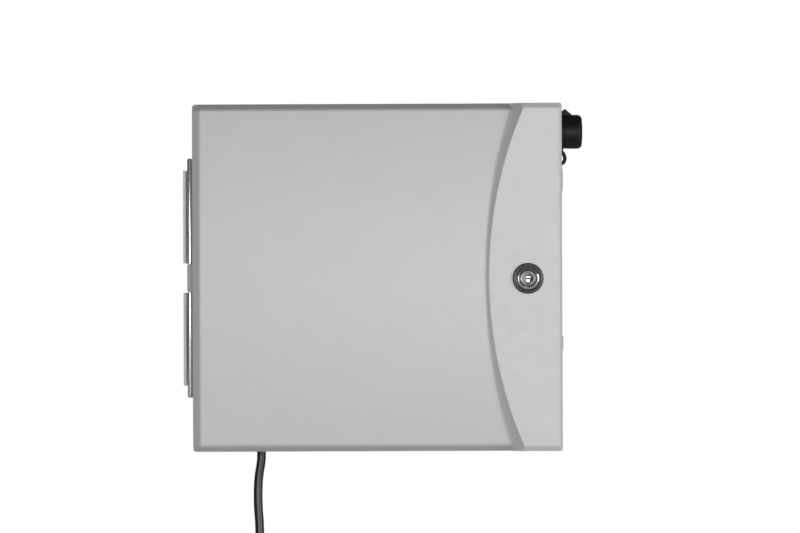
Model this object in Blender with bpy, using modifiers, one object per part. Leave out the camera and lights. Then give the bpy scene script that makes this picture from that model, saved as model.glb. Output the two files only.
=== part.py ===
"""Wall-mounted irrigation controller: a moulded cabinet, a hinged door and what they hold.

X runs to the right, Y back to the wall and Z up, in metres. The origin is the middle of
the back face, where the cabinet lies against the wall.
"""

import math

import bmesh
import bpy
from mathutils import Vector

# Door and cabinet
DOOR_WIDTH = 0.324
DOOR_HEIGHT = 0.305
DEPTH = 0.127  # wall face to the front of the lock panel
WALL = 0.003
DOOR_SKIRT = 0.041  # how far the door's side walls run back from its front
SKIRT_OVERLAP = 0.006  # how far the cabinet's rim reaches in under the skirt
DOOR_GAP = 0.001  # between the skirt and the cabinet inside it
TOUCH = 0.0003  # between pieces that rest on each other
SLIP = 0.0004  # between pieces that slide or turn in each other

# Door front: a flat lock panel, and a main panel that lies lower and bulges forward
LOCK_PANEL_LEFT = 0.098  # where the lock panel's curved edge comes furthest left
LOCK_PANEL_RADIUS = 0.3750
STEP_DEPTH = 0.0026  # main panel below lock panel, at mid height
BULGE_RADIUS = 1.613
MAIN_EDGE = 0.0065  # sloped border of the main panel
LOCK_EDGE = 0.003  # chamfer along the lock panel's ends
SIDE_EDGE = 0.0026
EDGE_DROP = 0.006  # behind the main panel, at its left border
END_DROP = 0.011  # and at its top and bottom borders

# Door hinge
HINGE_OUT = 0.003  # the pin's distance outside the door's left wall
HINGE_BACK = 0.006  # and behind the skirt's edge
KNUCKLE_RADIUS = 0.0026
KNUCKLE_LENGTH = 0.093
HINGE_ROD_RADIUS = 0.0015
HINGE_BLOCK_HEIGHT = 0.0235
GUARD_LENGTH = 0.082
GUARD_THICK = 0.0028
DOOR_OPEN_ROOM = 0.004  # the guards' front edge behind the pin

# Lock
LOCK_X_FROM_EDGE = 0.030
LOCK_BELOW_MIDDLE = 0.0012
LOCK_RADIUS = 0.0090
LOCK_HEAD_LIP = 0.00075  # how far the housing's head stands out past its thread
LOCK_BEZEL_WIDTH = 0.0045
LOCK_SLEEVE = 0.0016  # the housing's wall round its plug
CAM_REACH = 0.0192
CAM_WIDTH = 0.011
CAM_THICK = 0.003

# Rim gasket and strain relief
GASKET_THICK = 0.003
RELIEF_NECK = 0.0064
RELIEF_LENGTH = 0.024
RELIEF_NOSE = 0.0039  # how far the relief stands out under the cabinet
RELIEF_FROM_SIDE = 0.0515  # the relief's middle, from the cabinet's left inner wall
RELIEF_FROM_BACK = 0.046

# Inner panel and control unit
PANEL_HEIGHT = 0.156
PANEL_FRONT = -0.080
PANEL_THICK = 0.0025
PANEL_FLANGE = 0.010
PANEL_ROD_RADIUS = 0.0016
PANEL_KNUCKLE_RADIUS = 0.0035
UNIT_WIDTH = 0.200
UNIT_HEIGHT = 0.116
UNIT_DEPTH = 0.0122
UNIT_WALL = 0.002
WINDOW_WIDTH = 0.092
WINDOW_HEIGHT = 0.050
DIAL_RADIUS = 0.024
BUTTON_RADIUS = 0.0065
BUTTON_PITCH = 0.024
BUTTONS = ("program", "back", "minus", "plus", "next")
BUTTON_TRAVEL = 0.0012
SWITCH_TRAVEL = 0.008

# Modules and transformer
MODULES = ("power_module",) + tuple(f"output_module_{number}" for number in range(1, 5))
MODULE_PITCH = 0.036
MODULE_WIDTH = 0.0344
MODULE_HEIGHT = 0.078
MODULE_DEPTH = 0.036
MODULE_TRAVEL = 0.014
BAR_TRAVEL = 0.008
BAR_GRIP = 0.006  # the width of the lock bar's finger grip
POST_THICK = 0.002
CORE_WIDTH = 0.066
CORE_HEIGHT = 0.056
CORE_DEPTH = 0.028

# Mains corner
BOX_WIDTH = 0.095
BOX_HEIGHT = 0.0875
BOX_DEPTH = 0.059
SCREW_RADIUS = 0.0018
SCREW_HEAD = 0.0036

# Port on the right side
PORT_RADIUS = 0.0095
CAP_RADIUS = 0.0151
CAP_LENGTH = 0.0210

# Mains lead
CORD_RADIUS = 0.004
CORD_COIL_MIDDLE = (-0.100, -0.046, -0.322)
COIL_INNER_TURN = 0.038
COIL_OUTER_TURN = 0.058
CORD_POINTS = (
    (-0.1035, -0.0460, -0.1530),
    (-0.1036, -0.0460, -0.1610),
    (-0.1058, -0.0462, -0.1760),
    (-0.1066, -0.0465, -0.1900),
    (-0.1063, -0.0470, -0.2050),
    (-0.1054, -0.0477, -0.2190),
    (-0.1056, -0.0485, -0.2310),
    (-0.1085, -0.0493, -0.2430),
    (-0.1140, -0.0499, -0.2530),
    (-0.1172, -0.0500, -0.2567),
)

# What follows from them
CABINET_X = DOOR_WIDTH / 2 - WALL - DOOR_GAP
CABINET_Z = DOOR_HEIGHT / 2 - WALL - DOOR_GAP
INSIDE_X = CABINET_X - WALL
INSIDE_Z = CABINET_Z - WALL
BACK = -WALL
SKIRT_BACK = DOOR_SKIRT - DEPTH
CABINET_FRONT = SKIRT_BACK - SKIRT_OVERLAP
HINGE = Vector((-DOOR_WIDTH / 2 - HINGE_OUT, SKIRT_BACK + HINGE_BACK, 0))
LOCK = Vector((DOOR_WIDTH / 2 - LOCK_X_FROM_EDGE, -DEPTH, -LOCK_BELOW_MIDDLE))
LOCK_HEAD_RADIUS = LOCK_RADIUS + LOCK_HEAD_LIP
LOCK_BEZEL_RADIUS = LOCK_RADIUS + LOCK_BEZEL_WIDTH
PLUG_RADIUS = LOCK_RADIUS - LOCK_SLEEVE
PANEL_TOP = INSIDE_Z - 0.0095
PANEL_BOTTOM = PANEL_TOP - PANEL_HEIGHT
PANEL_AXIS = Vector((-INSIDE_X + 0.007, PANEL_FRONT + 0.002, 0))
PANEL_RIGHT = INSIDE_X - 0.012
UNIT_X = -0.012
UNIT_Z = (PANEL_TOP + PANEL_BOTTOM) / 2
UNIT_FRONT = PANEL_FRONT - TOUCH - UNIT_DEPTH
TRAY_LEFT = INSIDE_X - 0.199
TRAY_RIGHT = INSIDE_X - 0.011
TRAY_BOTTOM = INSIDE_Z - 0.1195
TRAY_TOP = TRAY_BOTTOM + MODULE_HEIGHT + 0.030
PORT = Vector((CABINET_X, -0.050, INSIDE_Z - 0.0171))
RELIEF = Vector((-INSIDE_X + RELIEF_FROM_SIDE, -RELIEF_FROM_BACK, -CABINET_Z))

FACING = {
    "up": (0, 0, 0),
    "down": (math.pi, 0, 0),
    "front": (math.pi / 2, 0, 0),
    "right": (0, math.pi / 2, 0),
}


def collection(name):
    made = bpy.data.collections.new(name)
    bpy.context.scene.collection.children.link(made)
    return made


def clear_scene():
    for obj in list(bpy.data.objects):
        bpy.data.objects.remove(obj, do_unlink=True)


clear_scene()
PARTS = collection("irrigation_controller")
CUTTERS = collection("cutters")


def finish(name, colour, roughness, metallic=0.0):
    made = bpy.data.materials.new(name)
    made.use_nodes = True
    shader = made.node_tree.nodes["Principled BSDF"]
    shader.inputs["Base Color"].default_value = (*colour, 1)
    shader.inputs["Roughness"].default_value = roughness
    shader.inputs["Metallic"].default_value = metallic
    return made


CASE = finish("case_plastic", (0.56, 0.57, 0.58), 0.5)
DARK = finish("dark_plastic", (0.05, 0.05, 0.055), 0.5)
INNER = finish("inner_plastic", (0.30, 0.31, 0.33), 0.55)
RUBBER = finish("black_rubber", (0.02, 0.02, 0.02), 0.6)
STEEL = finish("zinc_steel", (0.62, 0.62, 0.60), 0.35, 1.0)
CHROME = finish("chrome", (0.8, 0.8, 0.8), 0.1, 1.0)
COPPER = finish("wound_copper", (0.55, 0.25, 0.10), 0.4, 1.0)
BOARD = finish("circuit_board", (0.02, 0.16, 0.07), 0.4)
GLASS = finish("clear_window", (0.55, 0.60, 0.58), 0.1)
BUTTON = finish("button_plastic", (0.75, 0.76, 0.77), 0.5)
GREEN = finish("terminal_plastic", (0.05, 0.30, 0.12), 0.5)


def add(name, mesh, look=None, at=(0, 0, 0), facing="up"):
    """A part when it has a finish, and otherwise a hidden shape that cuts or joins."""
    made = bpy.data.objects.new(name, mesh)
    made.location = at
    made.rotation_euler = FACING[facing]
    if look is None:
        CUTTERS.objects.link(made)
        made.hide_render = True
        made.display_type = "WIRE"
    else:
        PARTS.objects.link(made)
        mesh.materials.append(look)
    return made


def block(name, across, back, up, look=None, soften=0.0):
    """A box between two values on each axis, with its long edges softened if asked."""
    low = Vector((across[0], back[0], up[0]))
    high = Vector((across[1], back[1], up[1]))
    shape = bmesh.new()
    bmesh.ops.create_cube(shape, size=1)
    bmesh.ops.scale(shape, vec=high - low, verts=shape.verts)
    mesh = bpy.data.meshes.new(name)
    shape.to_mesh(mesh)
    shape.free()
    made = add(name, mesh, look, (low + high) / 2)
    if soften:
        bevel = made.modifiers.new("soften", "BEVEL")
        bevel.width = soften
        bevel.segments = 2
    return made


def drum(name, radius, length, at, facing="up", look=None, sides=28):
    """A cylinder that starts at a point and runs its length."""
    shape = bmesh.new()
    ends = {"radius1": radius, "radius2": radius}
    bmesh.ops.create_cone(shape, cap_ends=True, segments=sides, depth=length, **ends)
    bmesh.ops.translate(shape, vec=(0, 0, length / 2), verts=shape.verts)
    mesh = bpy.data.meshes.new(name)
    shape.to_mesh(mesh)
    shape.free()
    mesh.shade_smooth()
    mesh.set_sharp_from_angle(angle=math.radians(40))
    return add(name, mesh, look, at, facing)


def turned(name, profile, at, facing="up", look=None, ring=False, steps=28):
    """A profile of (radius, height) points, listed down its outer side, turned about its axis."""
    shape = bmesh.new()
    points = [shape.verts.new((radius, 0, height)) for radius, height in profile]
    for start, end in zip(points, points[1:]):
        shape.edges.new((start, end))
    if ring:
        shape.edges.new((points[-1], points[0]))
    mesh = bpy.data.meshes.new(name)
    shape.to_mesh(mesh)
    shape.free()
    made = add(name, mesh, look, at, facing)
    screw = made.modifiers.new("turn", "SCREW")
    screw.steps = screw.render_steps = steps
    screw.use_merge_vertices = True
    screw.merge_threshold = 0.00001
    screw.use_smooth_shade = True
    return made


def prism(name, outline, start, end, drawn_in="xz", look=None):
    """A flat outline made thick: drawn in x and z and deep in y, or in x and y and deep in z."""
    curve = bpy.data.curves.new(name, "CURVE")
    curve.dimensions = "2D"
    curve.fill_mode = "BOTH"
    curve.extrude = (end - start) / 2
    spline = curve.splines.new("POLY")
    spline.points.add(len(outline) - 1)
    for point, (first, second) in zip(spline.points, outline):
        point.co = (first, second, 0, 1)
    spline.use_cyclic_u = True
    drawn = bpy.data.objects.new(name + "_outline", curve)
    bpy.context.scene.collection.objects.link(drawn)
    graph = bpy.context.evaluated_depsgraph_get()
    mesh = bpy.data.meshes.new_from_object(drawn.evaluated_get(graph))
    bpy.data.objects.remove(drawn, do_unlink=True)
    mesh.name = name
    shape = bmesh.new()
    shape.from_mesh(mesh)
    bmesh.ops.remove_doubles(shape, verts=shape.verts, dist=0.00001)
    bmesh.ops.recalc_face_normals(shape, faces=shape.faces)
    shape.to_mesh(mesh)
    shape.free()
    mesh.materials.clear()
    middle = (start + end) / 2
    if drawn_in == "xy":
        return add(name, mesh, look, (0, 0, middle), "up")
    return add(name, mesh, look, (0, middle, 0), "front")


def combine(part, others, operation):
    for other in others:
        change = part.modifiers.new(operation.lower(), "BOOLEAN")
        change.operation = operation
        change.object = other
        change.solver = "EXACT"
        bpy.context.view_layer.update()
        other.parent = part
        other.matrix_parent_inverse = part.matrix_world.inverted()
    return part


def cut(part, *cutters):
    return combine(part, cutters, "DIFFERENCE")


def join(part, *others):
    return combine(part, others, "UNION")


def hang(name, at, *pieces):
    """An empty on a joint's axis that carries the pieces turning or sliding there."""
    axis = bpy.data.objects.new(name, None)
    axis.location = at
    axis.empty_display_size = 0.02
    PARTS.objects.link(axis)
    bpy.context.view_layer.update()
    for piece in pieces:
        piece.parent = axis
        piece.matrix_parent_inverse = axis.matrix_world.inverted()
    return axis


def ring_block(name, across, up, back, border, look=None):
    """A rectangular frame, border wide, lying flat against the front."""
    made = block(name, (-across, across), back, (-up, up), look)
    hollow = (back[0] - 0.01, back[1] + 0.01)
    hole = block(name + "_hole", (border - across, across - border), hollow, (border - up, up - border))
    return cut(made, hole)


# Door ---------------------------------------------------------------------------------


def lock_panel_edge(up):
    """Where the lock panel's curved edge lies at a height."""
    middle = LOCK_PANEL_LEFT + LOCK_PANEL_RADIUS
    return middle - math.sqrt(LOCK_PANEL_RADIUS**2 - up**2)


def main_panel_drop(up):
    """How far the main panel lies behind the lock panel at a height."""
    return STEP_DEPTH + BULGE_RADIUS - math.sqrt(BULGE_RADIUS**2 - up**2)


MAIN_COLUMNS = 6
ROWS = 16


BEVEL_SHIFT = math.tan(math.pi / 8)  # how far a 45 degree corner moves, per unit of inset


def door_point(column, row, inset):
    """A point of the door's front face, or of the like face an inset further in."""
    foot = MAIN_COLUMNS
    top = foot + 1
    last = foot + 4
    on_lock = column >= top
    less = inset * (1 - BEVEL_SHIFT)
    border = (LOCK_EDGE if on_lock else MAIN_EDGE) - less
    half_width = DOOR_WIDTH / 2 - inset
    half = DOOR_HEIGHT / 2 - inset
    share = (row - 1) / (ROWS - 2)
    up = (half - border) * (2 * share - 1)
    if row in (0, ROWS):
        up = half if row else -half
    edge = lock_panel_edge(up) + BEVEL_SHIFT * inset
    drop = main_panel_drop(up)
    inner_left = MAIN_EDGE - less - half_width
    side = SIDE_EDGE - less
    if column == 0:
        across = -half_width
    elif column <= foot:
        across = inner_left + (edge - drop - inner_left) * (column - 1) / (foot - 1)
    elif column < last:
        across = edge + (half_width - side - edge) * (column - top) / (last - 1 - top)
    else:
        across = half_width
    back = inset if on_lock else drop + inset
    if on_lock and (row in (0, ROWS) or column == last):
        back += LOCK_EDGE - less if row in (0, ROWS) else side
    elif row in (0, ROWS):
        back += END_DROP - less
    elif column == 0:
        back += EDGE_DROP - less
    return Vector((across, back - DEPTH, up))


def door_form(name, inset, back):
    """The door's outline as a solid from its front face, at an inset, to a flat back."""
    columns = MAIN_COLUMNS + 4
    shape = bmesh.new()
    bmesh.ops.create_grid(shape, x_segments=columns, y_segments=ROWS, size=0.5)
    for point in shape.verts:
        column = round((point.co.x + 0.5) * columns)
        row = round((point.co.y + 0.5) * ROWS)
        point.co = door_point(column, row, inset)
    border = [edge for edge in shape.edges if edge.is_boundary]
    folded = bmesh.ops.extrude_edge_only(shape, edges=border)["geom"]
    for item in folded:
        if isinstance(item, bmesh.types.BMVert):
            item.co.y = back
    rim = [edge for edge in shape.edges if edge.is_boundary]
    bmesh.ops.contextual_create(shape, geom=rim)
    bmesh.ops.recalc_face_normals(shape, faces=shape.faces)
    mesh = bpy.data.meshes.new(name)
    shape.to_mesh(mesh)
    shape.free()
    return mesh


def knuckle(side):
    """One hinge knuckle with its web to the skirt: side is 1 above the hinge block, -1 below."""
    near = HINGE_BLOCK_HEIGHT / 2 + TOUCH * 2
    low, high = sorted((side * near, side * (near + KNUCKLE_LENGTH)))
    barrel = drum(f"knuckle_{side}", KNUCKLE_RADIUS, high - low, HINGE + Vector((0, 0, low)), sides=20)
    outer = HINGE.x + 0.0005
    web = block(
        f"web_{side}",
        (outer, -DOOR_WIDTH / 2 + WALL * 0.8),
        (SKIRT_BACK - 0.002, HINGE.y - 0.0002),
        (low + 0.0005, high - 0.0005),
    )
    return barrel, web


def make_door():
    door = add("door_shell", door_form("door_shell", 0, SKIRT_BACK), CASE)
    cut(door, add("door_hollow", door_form("door_hollow", WALL, SKIRT_BACK + 0.01)))
    lip_x = CABINET_X - 0.0008
    lip_z = CABINET_Z - 0.0008
    lip_back = CABINET_FRONT - GASKET_THICK - 2 * TOUCH
    lip = ring_block("door_lip", lip_x, lip_z, (-DEPTH - 0.001, lip_back), 0.002)
    inside_face = add("door_inside", door_form("door_inside", WALL / 2, SKIRT_BACK))
    combine(lip, [inside_face], "INTERSECT")
    join(door, lip)
    for side in (1, -1):
        join(door, *knuckle(side))
    span = HINGE_BLOCK_HEIGHT + 2 * KNUCKLE_LENGTH + 0.02
    bore = drum("knuckle_bore", HINGE_ROD_RADIUS + SLIP, span, HINGE - Vector((0, 0, span / 2)), sides=20)
    lock_hole = drum("lock_hole", LOCK_RADIUS + SLIP, 0.012, LOCK + Vector((0, 0.008, 0)), "front")
    return cut(door, bore, lock_hole)


# Cabinet ------------------------------------------------------------------------------

CONDUIT_BACK = 0.045
CONDUITS = (("conduit_plug_large", 0.135, 0.0172), ("conduit_plug_small", 0.070, 0.0139))
SIDE_PLUGS = (("side_plug_upper", 0.0598, 0.0112), ("side_plug_lower", 0.2043, 0.0070))
FLOOR_PLUG_HEAD = 0.0030
SIDE_PLUG_HEAD = 0.0062
PLUG_NECK = 0.0015  # how much smaller than its head a plug's neck is
WALL_SCREWS = (
    (-INSIDE_X + 0.055, INSIDE_Z - 0.0235),
    (-INSIDE_X + 0.135, -INSIDE_Z + 0.0505),
    (INSIDE_X - 0.045, -INSIDE_Z + 0.0505),
)
SCREW_HOLE_RADIUS = 0.0032
KEYHOLE_RADIUS = 0.0060


def make_cabinet():
    shape = bmesh.new()
    bmesh.ops.create_cube(shape, size=1)
    bmesh.ops.scale(shape, vec=(2 * CABINET_X, -CABINET_FRONT, 2 * CABINET_Z), verts=shape.verts)
    open_front = [face for face in shape.faces if face.normal.y < -0.5]
    bmesh.ops.delete(shape, geom=open_front, context="FACES_ONLY")
    corners = [e for e in shape.edges if abs((e.verts[0].co - e.verts[1].co).y) > 0.01]
    bmesh.ops.bevel(shape, geom=corners, offset=0.004, segments=3, affect="EDGES", profile=0.5)
    mesh = bpy.data.meshes.new("cabinet_shell")
    shape.to_mesh(mesh)
    shape.free()
    cabinet = add("cabinet_shell", mesh, CASE, (0, CABINET_FRONT / 2, 0))
    shell = cabinet.modifiers.new("shell", "SOLIDIFY")
    shell.thickness = WALL
    shell.offset = -1
    shell.use_even_offset = True
    holes = []
    through = 3 * WALL
    for name, from_right, radius in CONDUITS:
        start = Vector((INSIDE_X - from_right, -CONDUIT_BACK, -CABINET_Z - WALL))
        holes.append(drum(name + "_hole", radius - PLUG_NECK + SLIP, through, start))
    relief = RELIEF - Vector((0, 0, WALL))
    holes.append(drum("relief_hole", RELIEF_NECK + SLIP, through, relief))
    for name, down, radius in SIDE_PLUGS:
        start = Vector((INSIDE_X - WALL, PORT.y, INSIDE_Z - down))
        holes.append(drum(name + "_hole", radius - PLUG_NECK + SLIP, through, start, "right"))
    start = Vector((INSIDE_X - WALL, PORT.y, PORT.z))
    holes.append(drum("port_hole", PORT_RADIUS + SLIP, through, start, "right"))
    for number, (across, up) in enumerate(WALL_SCREWS):
        start = Vector((across, WALL, up))
        name = f"wall_screw_hole_{number}"
        holes.append(drum(name, SCREW_HOLE_RADIUS, through, start, "front", sides=16))
    across, up = WALL_SCREWS[0]
    start = Vector((across, WALL, up - 0.009))
    holes.append(drum("keyhole_head", KEYHOLE_RADIUS, through, start, "front", sides=20))
    slot = (across - SCREW_HOLE_RADIUS * 0.98, across + SCREW_HOLE_RADIUS * 0.98)
    holes.append(block("keyhole_slot", slot, (-2 * WALL, WALL), (up - 0.009, up)))
    half = HINGE_BLOCK_HEIGHT / 2
    holder = block(
        "hinge_block",
        (HINGE.x - 0.0026, -CABINET_X + WALL / 2),
        (HINGE.y - 0.0040, HINGE.y + 0.0070),
        (-half, half),
    )
    join(cabinet, holder)
    start = HINGE - Vector((0, 0, 2 * half))
    holes.append(drum("block_bore", HINGE_ROD_RADIUS + SLIP, 4 * half, start, sides=20))
    return cut(cabinet, *holes)


def make_gasket():
    across = CABINET_X - 0.0002
    up = CABINET_Z - 0.0002
    front = CABINET_FRONT - TOUCH
    return ring_block("rim_gasket", across, up, (front - GASKET_THICK, front), WALL - 0.0004, RUBBER)


def make_hinge_fixed():
    """The rod that runs through the block and both knuckles, and the guards outside them."""
    half = HINGE_BLOCK_HEIGHT / 2
    outside = -CABINET_X - TOUCH
    reach = half + KNUCKLE_LENGTH
    drum("hinge_rod", HINGE_ROD_RADIUS, 2 * reach, HINGE - Vector((0, 0, reach)), "up", STEEL, sides=16)
    for name, side in (("hinge_guard_upper", 1), ("hinge_guard_lower", -1)):
        low, high = sorted((side * (half + 0.0012), side * (half + 0.0012 + GUARD_LENGTH)))
        inner = HINGE.x - KNUCKLE_RADIUS - 0.0008
        front = HINGE.y + DOOR_OPEN_ROOM
        guard = block(name, (inner - GUARD_THICK, inner), (front, front + 0.034), (low, high), CASE)
        web = (front + 0.010, front + 0.014)
        for where in (low + 0.003, high - 0.007):
            foot = (where, where + 0.004)
            join(guard, block(f"{name}_foot_{where:.3f}", (inner - 0.001, outside), web, foot))
        leg = (front + 0.020, front + 0.024)
        join(guard, block(name + "_leg", (inner - 0.001, outside), leg, (low + 0.001, high - 0.001)))


# Lock ---------------------------------------------------------------------------------

HOUSING_BACK = 0.037  # behind the door's front
CAM_FRONT = HOUSING_BACK + 0.0015


def behind_lock(depth):
    return LOCK + Vector((0, depth, 0))


def make_lock():
    bore = PLUG_RADIUS + SLIP
    bezel = [
        (LOCK_BEZEL_RADIUS - 0.001, 0.0020),
        (LOCK_BEZEL_RADIUS, 0.0012),
        (LOCK_BEZEL_RADIUS, 0),
        (LOCK_HEAD_RADIUS + TOUCH, 0),
        (LOCK_HEAD_RADIUS + TOUCH, 0.0014),
        (LOCK_HEAD_RADIUS + 0.0012, 0.0020),
    ]
    bezel_part = turned("lock_bezel", bezel, behind_lock(-TOUCH), "front", DARK, ring=True)
    housing = [
        (LOCK_HEAD_RADIUS - 0.0008, HOUSING_BACK + 0.0032),
        (LOCK_HEAD_RADIUS, HOUSING_BACK + 0.0024),
        (LOCK_HEAD_RADIUS, HOUSING_BACK + TOUCH),
        (LOCK_RADIUS, HOUSING_BACK + TOUCH),
        (LOCK_RADIUS, 0),
        (bore, 0),
        (bore, HOUSING_BACK + 0.0024),
        (bore + 0.0006, HOUSING_BACK + 0.0032),
    ]
    housing_at = behind_lock(HOUSING_BACK)
    housing_part = turned("lock_housing", housing, housing_at, "front", CHROME, ring=True)
    nut_at = behind_lock(WALL + TOUCH + 0.004)
    nut = drum("lock_nut", LOCK_RADIUS + 0.005, 0.004, nut_at, "front", STEEL, sides=6)
    cut(nut, drum("lock_nut_bore", LOCK_RADIUS + SLIP, 0.008, behind_lock(WALL + 0.007), "front"))

    plug_at = behind_lock(HOUSING_BACK + 0.0005)
    plug = drum("lock_cylinder", PLUG_RADIUS, HOUSING_BACK + 0.0022, plug_at, "front", DARK)
    slot_front = -DEPTH - 0.004
    slot = block(
        "key_slot",
        (LOCK.x - 0.0010, LOCK.x + 0.0010),
        (slot_front, slot_front + 0.008),
        (LOCK.z - 0.0038, LOCK.z + 0.0038),
    )
    thread_at = behind_lock(HOUSING_BACK + 0.0025)
    thread = drum("plug_thread", 0.0021 + SLIP, 0.012, thread_at, "front", sides=16)
    cut(plug, slot, thread)
    front = -DEPTH + CAM_FRONT
    cam = block(
        "lock_cam",
        (LOCK.x - CAM_WIDTH / 2, LOCK.x + CAM_WIDTH / 2),
        (front, front + CAM_THICK),
        (LOCK.z - CAM_REACH, LOCK.z + CAM_WIDTH / 2),
        STEEL,
    )
    cut(cam, drum("cam_hole", 0.0021 + SLIP, 0.02, behind_lock(CAM_FRONT + 0.01), "front", sides=16))
    back = behind_lock(CAM_FRONT + CAM_THICK + TOUCH + 0.0018)
    screw = drum("cam_screw", 0.0044, 0.0018, back, "front", STEEL, sides=20)
    join(screw, drum("cam_screw_shank", 0.0021, 0.012, back, "front", sides=16))
    hang("lock_axis", LOCK, plug, cam, screw)

    hook = front - 0.0005
    wall = INSIDE_X - TOUCH
    tip = LOCK.x + CAM_REACH - 0.0057
    outline = [
        (tip, hook - 0.0025),
        (wall, hook - 0.0025),
        (wall, hook + 0.0180),
        (wall - 0.0020, hook + 0.0180),
        (wall - 0.0020, hook),
        (tip, hook),
    ]
    prism("lock_catch", outline, LOCK.z - 0.010, LOCK.z + 0.010, "xy", STEEL)
    return [bezel_part, housing_part, nut]


# Inner panel and control unit ---------------------------------------------------------

BRACKET_THICK = 0.006


def make_panel():
    left = PANEL_AXIS.x + 0.001
    depth = PANEL_FRONT + PANEL_FLANGE
    tall = (PANEL_BOTTOM, PANEL_TOP)
    panel = block("panel_frame", (left, PANEL_RIGHT), (PANEL_FRONT, depth), tall, INNER)
    hollow = block(
        "panel_hollow",
        (left + PANEL_THICK + 0.004, PANEL_RIGHT - PANEL_THICK),
        (PANEL_FRONT + PANEL_THICK, depth + 0.01),
        (PANEL_BOTTOM + PANEL_THICK, PANEL_TOP - PANEL_THICK),
    )
    cut(panel, hollow)
    start = PANEL_AXIS + Vector((0, 0, PANEL_BOTTOM))
    join(panel, drum("panel_knuckle", PANEL_KNUCKLE_RADIUS, PANEL_HEIGHT, start, sides=20))
    bore_start = start - Vector((0, 0, 0.01))
    cut(panel, drum("panel_bore", PANEL_ROD_RADIUS + SLIP, PANEL_HEIGHT + 0.02, bore_start, sides=20))

    wall = -INSIDE_X + TOUCH
    over = BRACKET_THICK + TOUCH * 2
    for place, low in (("upper", PANEL_TOP + TOUCH * 2), ("lower", PANEL_BOTTOM - over)):
        name = f"panel_bracket_{place}"
        back = (PANEL_AXIS.y - 0.004, PANEL_AXIS.y + 0.012)
        bracket = block(name, (wall, PANEL_AXIS.x + 0.004), back, (low, low + BRACKET_THICK), INNER)
        hole_start = Vector((PANEL_AXIS.x, PANEL_AXIS.y, low - 0.005))
        cut(bracket, drum(name + "_bore", PANEL_ROD_RADIUS + SLIP, 0.016, hole_start, sides=20))
    rod_start = start - Vector((0, 0, over))
    drum("panel_rod", PANEL_ROD_RADIUS, PANEL_HEIGHT + 2 * over, rod_start, "up", STEEL, sides=16)
    return panel


WINDOW = Vector((UNIT_X - 0.044, 0, UNIT_Z + 0.020))
DIAL = Vector((UNIT_X + 0.058, 0, UNIT_Z + 0.016))
SWITCH = Vector((UNIT_X + 0.058, 0, UNIT_Z - 0.036))
BUTTON_ROW = UNIT_Z - 0.034
BUTTON_START = UNIT_X - 0.080
BOARD_THICK = 0.0016
BOARD_FRONT = PANEL_FRONT - TOUCH - BOARD_THICK
SHAFT_RADIUS = 0.003


def rectangle(centre, width, height):
    """The x and z ranges of a rectangle about a point."""
    return (centre.x - width / 2, centre.x + width / 2), (centre.z - height / 2, centre.z + height / 2)


def make_unit():
    """The control unit: a housing open at its back, and what it holds."""
    centre = Vector((UNIT_X, 0, UNIT_Z))
    across, up = rectangle(centre, UNIT_WIDTH, UNIT_HEIGHT)
    back = PANEL_FRONT - TOUCH
    housing = block("unit_housing", across, (UNIT_FRONT, back), up, DARK, soften=0.0015)
    across, up = rectangle(centre, UNIT_WIDTH - 2 * UNIT_WALL, UNIT_HEIGHT - 2 * UNIT_WALL)
    cut(housing, block("unit_hollow", across, (UNIT_FRONT + UNIT_WALL, back + 0.01), up))
    through = (UNIT_FRONT - 0.01, UNIT_FRONT + 0.01)
    across, up = rectangle(WINDOW, WINDOW_WIDTH, WINDOW_HEIGHT)
    cut(housing, block("window_hole", across, through, up))
    start = Vector((0, UNIT_FRONT + 0.01, 0))
    cut(housing, drum("dial_hole", SHAFT_RADIUS + SLIP, 0.02, DIAL + start, "front", sides=20))
    for number in range(len(BUTTONS)):
        place = Vector((BUTTON_START + BUTTON_PITCH * number, UNIT_FRONT + 0.01, BUTTON_ROW))
        cut(housing, drum(f"button_hole_{number}", BUTTON_RADIUS + SLIP, 0.02, place, "front", sides=24))
    across, up = rectangle(SWITCH, SWITCH_TRAVEL + 0.009, 0.007)
    cut(housing, block("switch_hole", across, through, up))

    across, up = rectangle(WINDOW, WINDOW_WIDTH - 2 * SLIP, WINDOW_HEIGHT - 2 * SLIP)
    display_front = UNIT_FRONT + UNIT_WALL + TOUCH
    window = block("display_window", across, (UNIT_FRONT + 0.0003, display_front - TOUCH), up, GLASS)
    across, up = rectangle(WINDOW, WINDOW_WIDTH + 0.006, WINDOW_HEIGHT + 0.006)
    display = block("display_module", across, (display_front, BOARD_FRONT - TOUCH), up, DARK)
    across, up = rectangle(centre, UNIT_WIDTH - 2 * UNIT_WALL - 0.002, UNIT_HEIGHT - 2 * UNIT_WALL - 0.002)
    board = block("control_board", across, (BOARD_FRONT, BOARD_FRONT + BOARD_THICK), up, BOARD)
    return [housing, window, display, board]


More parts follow.
